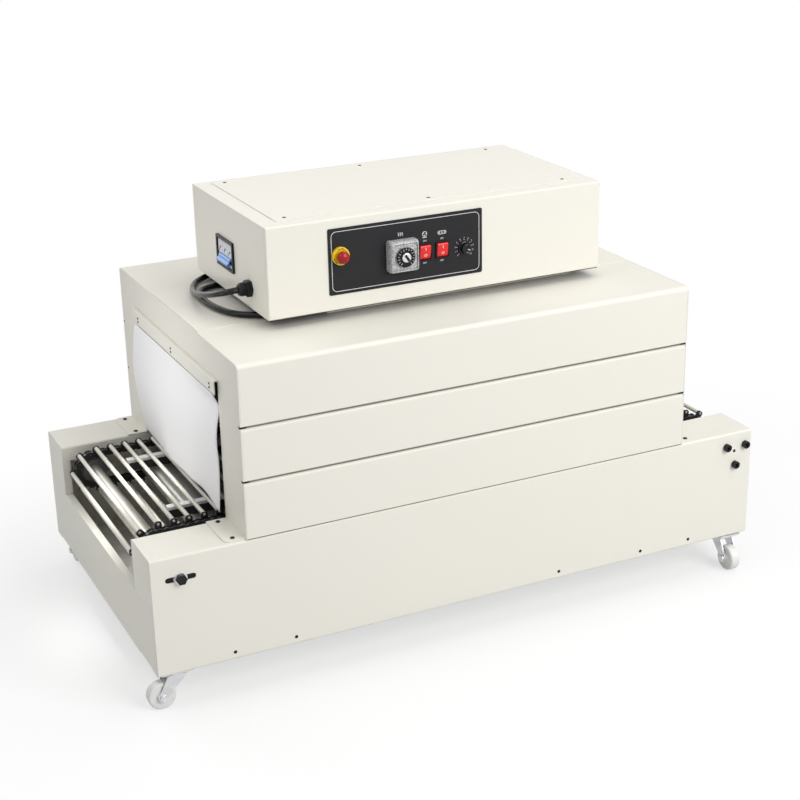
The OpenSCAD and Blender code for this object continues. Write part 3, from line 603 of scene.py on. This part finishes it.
CABLE_DIAMETER = 11 * MM
CABLE_ROUTE = np.array([
    [-346.6, -104, 656], [-357, -103, 655], [-368.5, -96, 652], [-377.1, -80, 647],
    [-381.4, -56, 640], [-382.9, -27, 632], [-381.4, 6, 624], [-377.1, 38, 617], [-369.9, 70, 611],
    [-359.1, 102, 609], [-343, 131, 608], [-316, 156, 608], [-288, 174, 608], [-258, 181, 608],
    [-230, 172, 608], [-213, 149, 608], [-211, 120, 608.5], [-226, 97, 609], [-254, 87, 609],
    [-288, 88, 609], [-322, 88, 609], [-347.6, 78, 609], [-360.6, 58, 609], [-367, 32, 609],
    [-368.5, 2, 609], [-366.3, -28, 609], [-359.8, -58, 609], [-348.3, -86, 609], [-326, -108, 609],
    [-298, -122, 609], [-267, -127, 609], [-236, -127, 610.6], [-202.3, -127, 611]]) * MM


def smooth_path(points, steps):
    """Catmull-Rom curve: between two points, the cubic whose slopes are half the chords around them."""
    padded = np.concatenate([2 * points[:1] - points[1:2], points, 2 * points[-1:] - points[-2:-1]])
    a, b, c, d = (padded[k:len(padded) - 3 + k, None] for k in range(4))
    t = np.linspace(0, 1, steps, endpoint=False)[None, :, None]
    curve = (b + t * (c - a) / 2 + t ** 2 * (a - 2.5 * b + 2 * c - d / 2)
             + t ** 3 * (1.5 * (b - c) + (d - a) / 2))
    return np.concatenate([curve.reshape(-1, 3), points[-1:]])


def tube(path, radius, sides=20):
    """Rings of one radius square to a path that never runs straight up."""
    way = np.gradient(path, axis=0)
    way /= np.linalg.norm(way, axis=1, keepdims=True)
    side = np.cross(way, (0, 0, 1))
    side /= np.linalg.norm(side, axis=1, keepdims=True)
    up = np.cross(side, way)
    a = np.linspace(0, TURN, sides, endpoint=False)[None, :, None]
    rings = path[:, None] + radius * (np.cos(a) * side[:, None] + np.sin(a) * up[:, None])
    return rings.reshape(-1, 3), capped_faces(len(path), sides)


cable_path = smooth_path(CABLE_ROUTE, 8)
cable = add_piece("cable_sheath", *tube(cable_path, CABLE_DIAMETER / 2), "cable_rubber", "machine",
                  "cable_rubber")
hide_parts("power_cable")

# Curtains

CURTAIN_AXIS_Z = 517.7 * MM
CURTAIN_SIZE = (438 * MM, 217 * MM)
CURTAIN_THICKNESS = 1.4 * MM


def soft_bump(t, middle, width):
    """A smooth hill of height 1 at the middle, about as wide as given."""
    return np.exp(-((t - middle) / width) ** 2)


def add_curtain(name, axis_x, outward):
    """Hanging sheet: a grid across (u, from the operator's edge) and down (v, from the clamp).

    The far edge bows out in the middle and tucks in at the bottom, the near edge waves and flares out
    at its foot, shallow folds run down between them, and the bottom edge lifts a little near that foot.
    All of it is in millimetres outward, and dies away at the clamp."""
    u, v = np.meshgrid(np.linspace(0, 1, 61), np.linspace(0, 1, 49), indexing="ij")
    far, near = u ** 2.5, (1 - u) ** 3
    hang = np.minimum(1, v / 0.08)
    bow = far * (10 * soft_bump(v, 0.42, 0.34) - 6 * v ** 4)
    wave = near * (5 * v ** 3 - 5 - 5 * soft_bump(v, 0.13, 0.09) + 3 * soft_bump(v, 0.40, 0.15))
    folds = (1.3 * v * np.sin(TURN * (1.7 * u + 0.15))
             + 0.8 * v ** 2 * np.sin(TURN * (3.1 * u + 0.35 * v)))
    out = (bow + wave + folds) * hang
    lift = 11 * soft_bump(u, 0.19, 0.13) * v ** 4
    width, drop = CURTAIN_SIZE
    points = np.stack([axis_x + outward * out * MM, (u - 0.5) * width,
                       CURTAIN_AXIS_Z - v * drop + lift * MM], -1)
    uv = np.stack([u * width, v * drop], -1)
    faces = grid_faces(*u.shape)[:, ::-outward]
    sheet = add_piece(name + "_cloth", points, faces, "curtain_cloth", name, "curtain_cloth", uv=uv)
    skin = sheet.modifiers.new("thickness", "SOLIDIFY")
    skin.thickness = CURTAIN_THICKNESS
    skin.offset = 0
    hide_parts(name)


add_curtain("curtain_left", -441.25 * MM, -1)
add_curtain("curtain_right", 451.25 * MM, 1)

# Screws, washers, and painted shade in recesses, holes, slots and gaps


def dome(radius, height):
    """Flattened round head: its side stands for 0.3 of the height, and the rest rounds over."""
    a = np.linspace(0, math.pi / 2, 6)[:-1]
    radii = np.append(radius, radius * np.cos(a) ** 0.6)
    heights = np.append(0, 0.3 * height + 0.7 * height * np.sin(a))
    return lathe(np.column_stack([radii, heights]), sides=16)


def block(width, height, low, high):
    """Plain block about the middle of a place."""
    half = np.array([[-1, -1], [1, -1], [1, 1], [-1, 1]]) * [width / 2, height / 2]
    return stacked([half, half], [low, high])


def cross_slot(size, height):
    """Two bars of painted shade in a cross recess."""
    return gathered(block(size, size * 0.28, height - 0.1 * MM, height + 0.05 * MM),
                    block(size * 0.28, size, height - 0.1 * MM, height + 0.06 * MM))


def add_screws(name, spots, radius, height):
    """Round head screws, and painted shade in their cross recesses, as two pieces."""
    heads = gathered(*[put(spot, dome(radius, height)) for spot in spots])
    add_piece(name + "_heads", *heads, "black_steel", "machine", "galvanised")
    recess_shades = gathered(*[put(spot, cross_slot(1.1 * radius, height)) for spot in spots])
    add_flat(name + "_slots", recess_shades, "dark_ink", "black_plastic")


def up_spot(x, y, z):
    """A place on a face that looks up."""
    return Spot((x, y, z), (1, 0, 0), (0, 1, 0))


def side_spot(x, y, z):
    """A place on a face towards the operator, or on the back if y is positive."""
    return Spot((x, y, z), (1 if y < 0 else -1, 0, 0), (0, 0, 1))


def end_spot(x, y, z):
    """A place on a face towards the inlet, or the outlet if x is positive."""
    return Spot((x, y, z), (0, -1 if x < 0 else 1, 0), (0, 0, 1))


strip_faces = [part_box("curtain_strip_left")[0].x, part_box("curtain_strip_right")[1].x]
strip_places = [end_spot(x, y * MM, z * MM) for x in strip_faces for y in (-205, 0, 195) for z in (527, 534)]
add_screws("strip", strip_places, 2.2 * MM, 1.2 * MM)

FOOT_SHEET = 2 * MM
foot_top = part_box("hood_end_left")[0].z + FOOT_SHEET
foot_places = [up_spot(x * MM, y * MM, foot_top) for x in (-453, 463) for y in (-308, -236, 236, 308)]
add_screws("foot", foot_places, 4.2 * MM, 2.2 * MM)

LID_IN_X, LID_IN_Y = 22 * MM, 14 * MM
lid_low, lid_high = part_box("control_box_lid")
lid_x = (lid_low.x + LID_IN_X, (lid_low.x + lid_high.x) / 2, lid_high.x - LID_IN_X)
lid_y = (lid_low.y + LID_IN_Y, lid_high.y - LID_IN_Y)
add_screws("lid", [up_spot(x, y, lid_high.z) for y in lid_y for x in lid_x], 3.5 * MM, 0.7 * MM)

LOW_HOLES_X, LOW_HOLES_Z = (-466, -353, 177, 358, 468), 86 * MM
DRIVE_HOLE_X, DRIVE_HOLE_Z = 567 * MM, 252 * MM
base_sides = (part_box("base_front_panel")[0].y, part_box("base_back_panel")[1].y)
hole_places = [side_spot(x * MM, y, LOW_HOLES_Z) for x in LOW_HOLES_X for y in base_sides]
hole_places += [side_spot(DRIVE_HOLE_X, y, DRIVE_HOLE_Z) for y in base_sides]
# Painted shade: flat dark discs on the base panels for the shade inside their holes.
hole = lathe([[3.2 * MM, 0], [3.2 * MM, 0.15 * MM]], 24)
add_flat("base_hole_shades", gathered(*[put(spot, hole) for spot in hole_places]), "dark_ink", "black_plastic")

SHAFT_Z = 248 * MM
BOLT_IN_SLOT = 10.5 * MM
slot_bolt = [side_spot(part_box("tension_bolts")[0].x + BOLT_IN_SLOT, y, SHAFT_Z) for y in base_sides]
washer = rounded_profile([[11.6 * MM, 0, 0], [11.6 * MM, 1.7 * MM, 0.4 * MM], [9 * MM, 1.7 * MM, 0]])
add_piece("slot_washers", *gathered(*[put(spot, lathe(washer)) for spot in slot_bolt]), "bright_zinc",
          "machine", "galvanised")
# Dark plates behind the tension slots: the bearing blocks, black also as painted shade inside the slots.
slot_blocks_and_shade = [put(spot, block(64 * MM, 16 * MM, -6 * MM, -3 * MM)) for spot in slot_bolt]
add_flat("slot_blocks_and_shade", gathered(*slot_blocks_and_shade), "dark_ink", "black_steel")

GROOVE_LIFTS = (103, 200)
GROOVE_MIDDLE = 2
NOTCH_IN = 4 * MM
hood_low, hood_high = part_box("hood_front_cover")
hood_l, hood_x = hood_high.x - hood_low.x, (hood_high.x + hood_low.x) / 2


def groove_fill(x, y, lift, length, high):
    """A block of painted shade in the bottom of a groove along the hood, up to a height below its face."""
    spot = side_spot(x, y, hood_low.z + (lift + GROOVE_MIDDLE) * MM)
    return put(spot, block(length, 3.9 * MM, -7.9 * MM, high))


# Painted shade: thin dark strips along the seam between hood and base, and dark blocks deep in the hood's
# grooves.
seam_shade_strips = [put(side_spot(hood_x, y, hood_low.z + 0.8 * MM), block(hood_l, 1.6 * MM, 0, 0.2 * MM))
         for y in base_sides]
groove_shade_blocks = [groove_fill(hood_x, y, lift, hood_l, -2.6 * MM) for y in base_sides for lift in GROOVE_LIFTS]
add_flat("hood_gap_shade", gathered(*seam_shade_strips, *groove_shade_blocks), "seam_shade", "black_plastic")
# Painted shade in the open notches at both ends of each groove.
notch_shade_blocks = [groove_fill(x, y, lift, 12 * MM, -2.2 * MM)
           for x in (hood_low.x + NOTCH_IN, hood_high.x - NOTCH_IN)
           for y in base_sides for lift in GROOVE_LIFTS]
add_flat("groove_end_shade", gathered(*notch_shade_blocks), "dark_ink", "black_plastic")

# Painted shade: a dark plate under the control box, for the shade in the gap beneath it.
UNDERSIDE_IN = 4 * MM
box_low, box_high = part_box("control_box")
box_middle = (box_low + box_high) / 2
under = Spot((box_middle.x, box_middle.y, box_low.z), (-1, 0, 0), (0, 1, 0))
shade = block(box_high.x - box_low.x - UNDERSIDE_IN, box_high.y - box_low.y - UNDERSIDE_IN, 0, 1 * MM)
add_flat("box_underside_shade", put(under, shade), "dark_ink", "black_plastic")

# Rod pins: the riveted end of each rod, on the outer face of its lug

LINK, TEETH, RUN_LINKS = 14 * MM, 14, 79
ROD_LIFT, LUG_FACE = 11.5 * MM, 193 * MM


def rod_places():
    """Rod middles round the loop: two straight runs of links and two half turns, every second pin."""
    turn = TURN / TEETH
    radius = LINK / 2 / math.sin(turn / 2)
    axis_x = RUN_LINKS * LINK / 2
    k = np.arange(RUN_LINKS)
    along = -axis_x + (k + 0.5) * LINK
    level = np.full(RUN_LINKS, radius * math.cos(turn / 2) + ROD_LIFT)
    a = math.pi / 2 - (np.arange(TEETH // 2) + 0.5) * turn
    x = np.concatenate([along, axis_x + (radius + ROD_LIFT) * np.cos(a), -along,
                        -axis_x - (radius + ROD_LIFT) * np.cos(a)])
    z = np.concatenate([level, (radius + ROD_LIFT) * np.sin(a), -level, -(radius + ROD_LIFT) * np.sin(a)])
    return np.column_stack([x, SHAFT_Z + z])[::2]


pin = rounded_profile([[2.6 * MM, 0, 0], [2.6 * MM, 1.2 * MM, 0.5 * MM], [0.2 * MM, 1.4 * MM, 0]], 4)
add_piece("rod_pins", *gathered(*[put(side_spot(x, y, z), lathe(pin, 12))
                                  for x, z in rod_places() for y in (-LUG_FACE, LUG_FACE)]),
          "bright_steel", "machine", "bright_steel")

# Control panel print

PANEL_FACE = 1.5 * MM
INK = 0.08 * MM
CAPITAL_SHARE = 0.7


def lettering(text, height, spot):
    """Flat letters of the built-in font as points and faces, centred on a place."""
    curve = bpy.data.curves.new("letters", "FONT")
    curve.body = text
    curve.size = height / CAPITAL_SHARE
    curve.align_x, curve.align_y = "CENTER", "CENTER"
    holder = bpy.data.objects.new("letters", curve)
    bpy.context.scene.collection.objects.link(holder)
    mesh = bpy.data.meshes.new_from_object(holder.evaluated_get(bpy.context.evaluated_depsgraph_get()))
    points = np.zeros(len(mesh.vertices) * 3)
    mesh.vertices.foreach_get("co", points)
    faces = [tuple(f.vertices) for f in mesh.polygons]
    bpy.data.objects.remove(holder)
    bpy.data.curves.remove(curve)
    bpy.data.meshes.remove(mesh)
    return spot.at(points.reshape(-1, 3) + [0, 0, INK]), faces


def stroke(points, width, closed=False):
    """A flat printed line of even width through points."""
    points = np.asarray(points, float)
    way = np.gradient(points, axis=0) if not closed else np.roll(points, -1, 0) - np.roll(points, 1, 0)
    way /= np.linalg.norm(way, axis=1, keepdims=True)
    side = np.column_stack([-way[:, 1], way[:, 0]]) * width / 2
    count = len(points)
    flat = np.concatenate([points - side, points + side])
    k = np.arange(count if closed else count - 1)
    n = (k + 1) % count
    return np.column_stack([flat, np.full(2 * count, INK)]), np.stack([k, n, n + count, k + count], 1)


def circle(x, y, radius, start=0.0, end=TURN, steps=40):
    """Points round a circle, or along an arc of it with both ends."""
    a = np.linspace(start, end, steps, endpoint=end - start < TURN)
    return np.column_stack([x + radius * np.cos(a), y + radius * np.sin(a)])


STOP, CONTROLLER, KNOB = (-187.5 * MM, 716.5 * MM), (-72 * MM, 702 * MM), (53 * MM, 697 * MM)
ROCKERS = {"rocker_left": (-25 * MM, 700 * MM), "rocker_right": (9 * MM, 700 * MM)}
panel_low, panel_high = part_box("control_panel")
panel_size = np.array([panel_high.x - panel_low.x, panel_high.z - panel_low.z])


def printed_at(place, right=0.0, up=0.0):
    """A place on the panel's face, moved right and up by millimetres."""
    return panel_spot(*place).moved(right * MM, up * MM, PANEL_FACE)


panel_middle = printed_at(((panel_low.x + panel_high.x) / 2, (panel_low.z + panel_high.z) / 2))
frame_line = rounded_outline(*(panel_size - 12 * MM), 9 * MM)
printed = [put(panel_middle, stroke(frame_line, 1.0 * MM, closed=True))]
for k, a in enumerate(np.radians(np.linspace(225, -45, 11))):
    ray = np.array([math.cos(a), math.sin(a)])
    printed.append(put(printed_at(KNOB), stroke([ray * 13.8 * MM, ray * 15.4 * MM], 0.8 * MM)))
    printed.append(lettering(str(k), 2.7 * MM, printed_at(KNOB, *(ray * 18.2))))
for place in ROCKERS.values():
    printed.append(lettering("ON", 3.0 * MM, printed_at(place, up=20.0)))
    printed.append(lettering("OFF", 3.0 * MM, printed_at(place, up=-20.0)))
SYMBOL_UP = 31
FAN_HUB, FAN_REACH = 1.6 * MM, 1.9 * MM
fan = printed_at(ROCKERS["rocker_left"], up=SYMBOL_UP)
printed.append(put(fan, stroke(circle(0, FAN_HUB, 4.2 * MM), 1.0 * MM, closed=True)))
printed.append(put(fan, stroke([[-4 * MM, -4.6 * MM], [4 * MM, -4.6 * MM]], 1.4 * MM)))
for a in np.arange(3) * TURN / 3:
    blade = circle(FAN_REACH * math.cos(a), FAN_HUB + FAN_REACH * math.sin(a), 1.2 * MM, a - 0.3, a + 2.6, 14)
    printed.append(put(fan, stroke(blade, 0.8 * MM)))
belt = printed_at(ROCKERS["rocker_right"], up=SYMBOL_UP)
printed.append(put(belt, stroke(rounded_outline(16 * MM, 5.4 * MM, 2.6 * MM), 1.0 * MM, closed=True)))
for x in (-5.2, 0, 5.2):
    printed.append(put(belt, stroke(circle(x * MM, 0, 0.9 * MM, steps=20), 0.8 * MM, closed=True)))
heat = printed_at(CONTROLLER, up=36.5)
t = np.linspace(-3.2, 3.2, 24)
for x in (-3.6, 0, 3.6):
    printed.append(put(heat, stroke(np.column_stack([x + 0.9 * np.sin(t * 1.9), t]) * MM, 0.9 * MM)))
add_flat("panel_print", gathered(*printed), "white_ink", "white_plastic")

# Stop button

COLLAR_FACE = 8.5
stop = panel_spot(*STOP)
collar = np.array([[15.9, 1.5, 0], [16, COLLAR_FACE, 1.6], [12.4, COLLAR_FACE, 0.5], [12, 7.2, 0.3],
                   [5.6, 7.2, 0]])
collar_piece = add_piece("stop_collar_ring", *put(stop, lathe(rounded_profile(collar * MM), 72)),
                         "yellow_plastic", "machine", "yellow_plastic")
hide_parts("stop_collar")
arrows = [stroke(circle(0, 0, 14 * MM, a, a + 0.8, 14), 1.0 * MM) for a in np.radians([70, 190, 310])]
add_flat("stop_collar_marks", put(stop.moved(0, 0, COLLAR_FACE * MM), gathered(*arrows)), "dark_ink",
         "black_plastic")
stem = rounded_profile(np.array([[5.4, -6, 0], [5.4, 14, 0.4], [11, 14, 1.4], [11, 17.5, 0]]) * MM)
rise = np.linspace(0, math.pi / 2 - 0.02, 12)[1:]
crown = np.column_stack([11 * np.cos(rise), 17.5 + 7.5 * np.sin(rise)]) * MM
stop_piece = add_piece("stop_button_head", *put(stop, lathe(np.concatenate([stem, crown]), 72)),
                       "red_plastic", "stop_button", "red_plastic")
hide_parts("stop_button")

# Temperature controller

CONTROLLER_FACE = 19.4
DIAL_FACE = 24.6
DIAL_REST = 0.6
controller = panel_spot(*CONTROLLER)
layers = [(56, 4, 1.5), (56, 4, 14.5), (55.2, 4, 16.2), (52.0, 3.6, 20.6), (51.0, 3.4, 21.5),
          (50.0, 3.2, 21.8), (48.2, 2.8, 21.8), (47.4, 2.6, 21.4), (46.4, 2.4, CONTROLLER_FACE)]
housing = stacked([rounded_outline(width * MM, width * MM, radius * MM) for width, radius, _ in layers],
                  [height * MM for _, _, height in layers])
housing_piece = add_piece("controller_case", *put(controller, housing), "silver_plastic", "machine",
                          "grey_plastic", sharp=40)
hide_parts("controller_housing")
face_line = stroke(rounded_outline(45.6 * MM, 45.6 * MM, 2.4 * MM), 0.9 * MM, closed=True)
add_flat("controller_line", put(controller.moved(0, 0, CONTROLLER_FACE * MM), face_line), "grey_ink",
         "black_plastic")
skirt = np.array([[3, 21.0, 0], [17.4, 21.8, 0.3], [18, 23.8, 0.6], [16.8, DIAL_FACE, 0.5],
                  [9.4, DIAL_FACE, 0.2], [9.2, 24.0, 0]])
skirt_piece = add_piece("dial_skirt", *put(controller, lathe(rounded_profile(skirt * MM), 72)),
                        "black_plastic", "controller_dial", "black_plastic")
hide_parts("controller_dial")
ticks = []
for k, a in enumerate(np.radians(np.linspace(230, -50, 15))):
    ray = np.array([math.cos(a), math.sin(a)]) * MM
    ticks.append(stroke([ray * (13.8 if k % 2 else 12.2), ray * 16.2], 0.7 * MM))
add_flat("dial_ticks", put(controller.moved(0, 0, DIAL_FACE * MM), gathered(*ticks)), "white_ink",
         "white_plastic", "controller_dial")
grip = np.array([[8.9, 23.8, 0], [8.6, 26.6, 0.6], [7.2, 28.2, 1.2], [0.2, 28.5, 0]])
add_piece("dial_grip", *put(controller, lathe(rounded_profile(grip * MM), 60)), "silver_cap",
          "controller_dial", "grey_plastic")
bar = stacked([rounded_outline(width * MM, 13.5 * MM, 1.2 * MM) for width in (4.6, 4.4, 3.4)],
              np.array([27.6, 28.9, 29.3]) * MM)
add_piece("dial_bar", *put(controller.turned(DIAL_REST), bar), "black_plastic", "controller_dial",
          "black_plastic")

# Rockers

ROCKER_TILT = math.radians(8)


def rocker_top(y):
    """Height of a rocker above its axis: two easy slopes from a rounded ridge.

    It falls by the root of y squared plus a small softness, scaled to the paddle's half length."""
    half, ridge, softness = 12.75 * MM, 2.4 * MM, 0.03
    return 4 * MM + ridge * (1 - np.sqrt((y / half) ** 2 + softness)) / (1 - math.sqrt(softness))


def add_rocker(name, place):
    """Shrinking rounded outlines laid on the ridge, then tilted as at rest."""
    tilted = Spot(panel_spot(*place).origin, (1, 0, 0), (0, -math.sin(ROCKER_TILT), math.cos(ROCKER_TILT)))
    rows = []
    shrinking = (1, 5.0), (1, 0.9), (0.985, 0.3), (0.95, 0.03), (0.75, 0), (0.5, 0), (0.25, 0), (0.02, 0)
    for share, drop in shrinking:
        outline = rounded_outline(21.3 * MM * share, 25.2 * MM * share, 1.6 * MM * share, 8)
        rows.append(np.column_stack([outline, rocker_top(outline[:, 1]) - drop * MM]))
    faces = capped_faces(len(rows), len(rows[0]))
    piece = add_piece(name + "_paddle", tilted.at(np.concatenate(rows)), faces, "red_switch", name,
                      "red_plastic", sharp=50)
    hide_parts(name)
    marks = gathered(stroke([[0, 4.4 * MM], [0, 9.0 * MM]], 1.2 * MM),
                     stroke(circle(0, -4.6 * MM, 2.2 * MM), 1.1 * MM, closed=True))
    raised = np.column_stack([marks[0][:, :2], rocker_top(marks[0][:, 1]) + INK])
    add_flat(name + "_marks", (tilted.at(raised), marks[1]), "white_ink", "white_plastic", name)


for name, place in ROCKERS.items():
    add_rocker(name, place)

# Speed knob

def fluted(rows, flutes, depth, sharpness, sides):
    """Turned profile of (radius, height, share), in millimetres, with flutes round it.

    In each flute the radius dips by depth times share, and sharpness narrows the dip."""
    rows = np.asarray(rows, float)
    a = np.linspace(0, TURN, sides, endpoint=False)
    radius = rows[:, :1] * (1 - depth * rows[:, 2:] * (0.5 + 0.5 * np.cos(flutes * a)) ** sharpness)
    rings = np.stack([radius * np.cos(a), radius * np.sin(a), np.repeat(rows[:, 1:2], sides, 1)], -1) * MM
    return rings.reshape(-1, 3), capped_faces(len(rows), sides)


KNOB_REST = -0.4
knob_axis = panel_spot(*KNOB)
knob_rows = [[11.9, 1.9, 0], [12, 4.0, 0], [11.2, 4.6, 0], [10.2, 4.9, 1], [9.8, 11.8, 1],
             [9.0, 13.2, 0.5], [7.6, 13.8, 0], [7.2, 13.5, 0], [0.2, 13.4, 0]]
knob_piece = add_piece("speed_knob_grip", *put(knob_axis, fluted(knob_rows, 16, 0.06, 3, 128)),
                       "black_gloss", "speed_knob", "black_plastic", sharp=40)
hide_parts("speed_knob")
pointer = knob_axis.turned(KNOB_REST).moved(4.2 * MM, 0)
add_flat("speed_knob_line", put(pointer, block(5.6 * MM, 1.4 * MM, 13.3 * MM, 13.6 * MM)), "white_ink",
         "white_plastic", "speed_knob")

# Breaker

BREAKER_Y, BREAKER_Z, TOGGLE_Z = 12 * MM, 690 * MM, 680 * MM
POLES = (-23.5, 0, 23.5)
POLE_FACE = 2.2 * MM
breaker = left_spot(BREAKER_Y, BREAKER_Z)
pole = block(20 * MM, 20 * MM, 0.9 * MM, POLE_FACE)
add_flat("breaker_poles", gathered(*[put(breaker.moved(x * MM, 9.5 * MM), pole) for x in POLES]),
         "white_plastic", "white_plastic")
arc = stroke(circle(4 * MM, -1 * MM, 8 * MM, 1.4, 3.2, 16), 3.6 * MM)
arcs = [put(breaker.moved(x * MM, 1.0 * MM, POLE_FACE), arc) for x in POLES]
add_flat("breaker_marks", gathered(*arcs), "blue_ink", "blue_plastic")
lines = [put(breaker.moved(x * MM, (9.5 + 2.8 * k) * MM, POLE_FACE),
             stroke([[-6 * MM, 0], [(2 + 3 * (k % 2)) * MM, 0]], 0.6 * MM))
         for x in POLES for k in range(4)]
add_flat("breaker_lines", gathered(*lines), "grey_ink", "black_plastic")


def sweep(profile, width):
    """A closed profile of (up, out), in millimetres, carried across a width, with eased ends."""
    middle = profile.mean(0)
    x = np.array([-1, -0.985, 0.985, 1]) * width / 2
    ease = np.array([0.9, 1, 1, 0.9])[:, None, None]
    ring = middle + (profile - middle)[None] * ease
    points = np.concatenate([np.repeat(x[:, None, None], len(profile), 1), ring], -1) * MM
    return points.reshape(-1, 3), capped_faces(len(x), len(profile))


TOGGLE_REST = math.radians(38)
TOGGLE_WIDTH = 55.6
NOSE_HALF = 3.4
reach = np.array([-math.sin(TOGGLE_REST), math.cos(TOGGLE_REST)])
across = np.array([math.cos(TOGGLE_REST), math.sin(TOGGLE_REST)])
a = np.linspace(0, TURN, 48, endpoint=False)[:, None]
drum = 5.9 * (np.cos(a) * across + np.sin(a) * reach)
a = np.linspace(0.25, math.pi - 0.25, 11)[:, None]
tip = 9.4 * reach + NOSE_HALF * np.cos(a) * across + 2.5 * np.sin(a) * reach
nose = np.concatenate([[NOSE_HALF * across], tip, [-NOSE_HALF * across]])
toggle = gathered(sweep(drum, TOGGLE_WIDTH), sweep(nose, TOGGLE_WIDTH))
toggle_piece = add_piece("breaker_bar", *put(left_spot(BREAKER_Y, TOGGLE_Z), toggle), "blue_plastic",
                         "breaker_toggle", "blue_plastic")
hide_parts("breaker_toggle")

# Cable gland

hexagon = circle(0, 0, 1, steps=6)


def hex_ring(radius, steps=6):
    """Hexagon with its corners a little cut: each side drawn from 5 % to 95 % of its length."""
    t = np.linspace(0.05, 0.95, steps)[:, None]
    return np.concatenate([radius * ((1 - t) * hexagon[k] + t * hexagon[(k + 1) % 6]) for k in range(6)])


gland = left_spot(CABLE_ROUTE[0, 1], CABLE_ROUTE[0, 2])
nut = stacked([hex_ring(radius * MM) for radius in (15.9, 15.9, 15.0)], np.array([0, 9.0, 10.0]) * MM)
cap_rows = [[11.2, 9.6, 0], [12, 10.2, 1], [12, 17.5, 1], [11.2, 20.5, 0.6], [9.4, 23.0, 0.1],
            [7.0, 24.0, 0], [5.6, 24.0, 0]]
cap = fluted(cap_rows, 12, 0.05, 4, 96)
gland_piece = add_piece("gland_nut", *put(gland, gathered(nut, cap)), "black_plastic", "machine",
                        "black_plastic", sharp=35)
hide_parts("cable_gland")

# Axle nuts, on both sides of each caster's fork

FORK_FACE = 16.8 * MM
axle_nut = stacked([hex_ring(radius * MM, 3) for radius in (6.6, 6.6, 5.8)], np.array([-2.0, 1.6, 2.2]) * MM)
for corner in ("front_left", "front_right", "back_left", "back_right"):
    low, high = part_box("caster_wheel_" + corner)
    axle = 1 if high.y - low.y < high.x - low.x else 0
    nuts = []
    for way in (-1, 1):
        origin = np.array((low + high) / 2)
        origin[axle] += way * FORK_FACE
        nuts.append(put(Spot(origin, (-way, 0, 0) if axle else (0, way, 0), (0, 0, 1)), axle_nut))
    add_piece("axle_nuts_" + corner, *gathered(*nuts), "bright_zinc", "fork_" + corner, "galvanised",
              sharp=35)
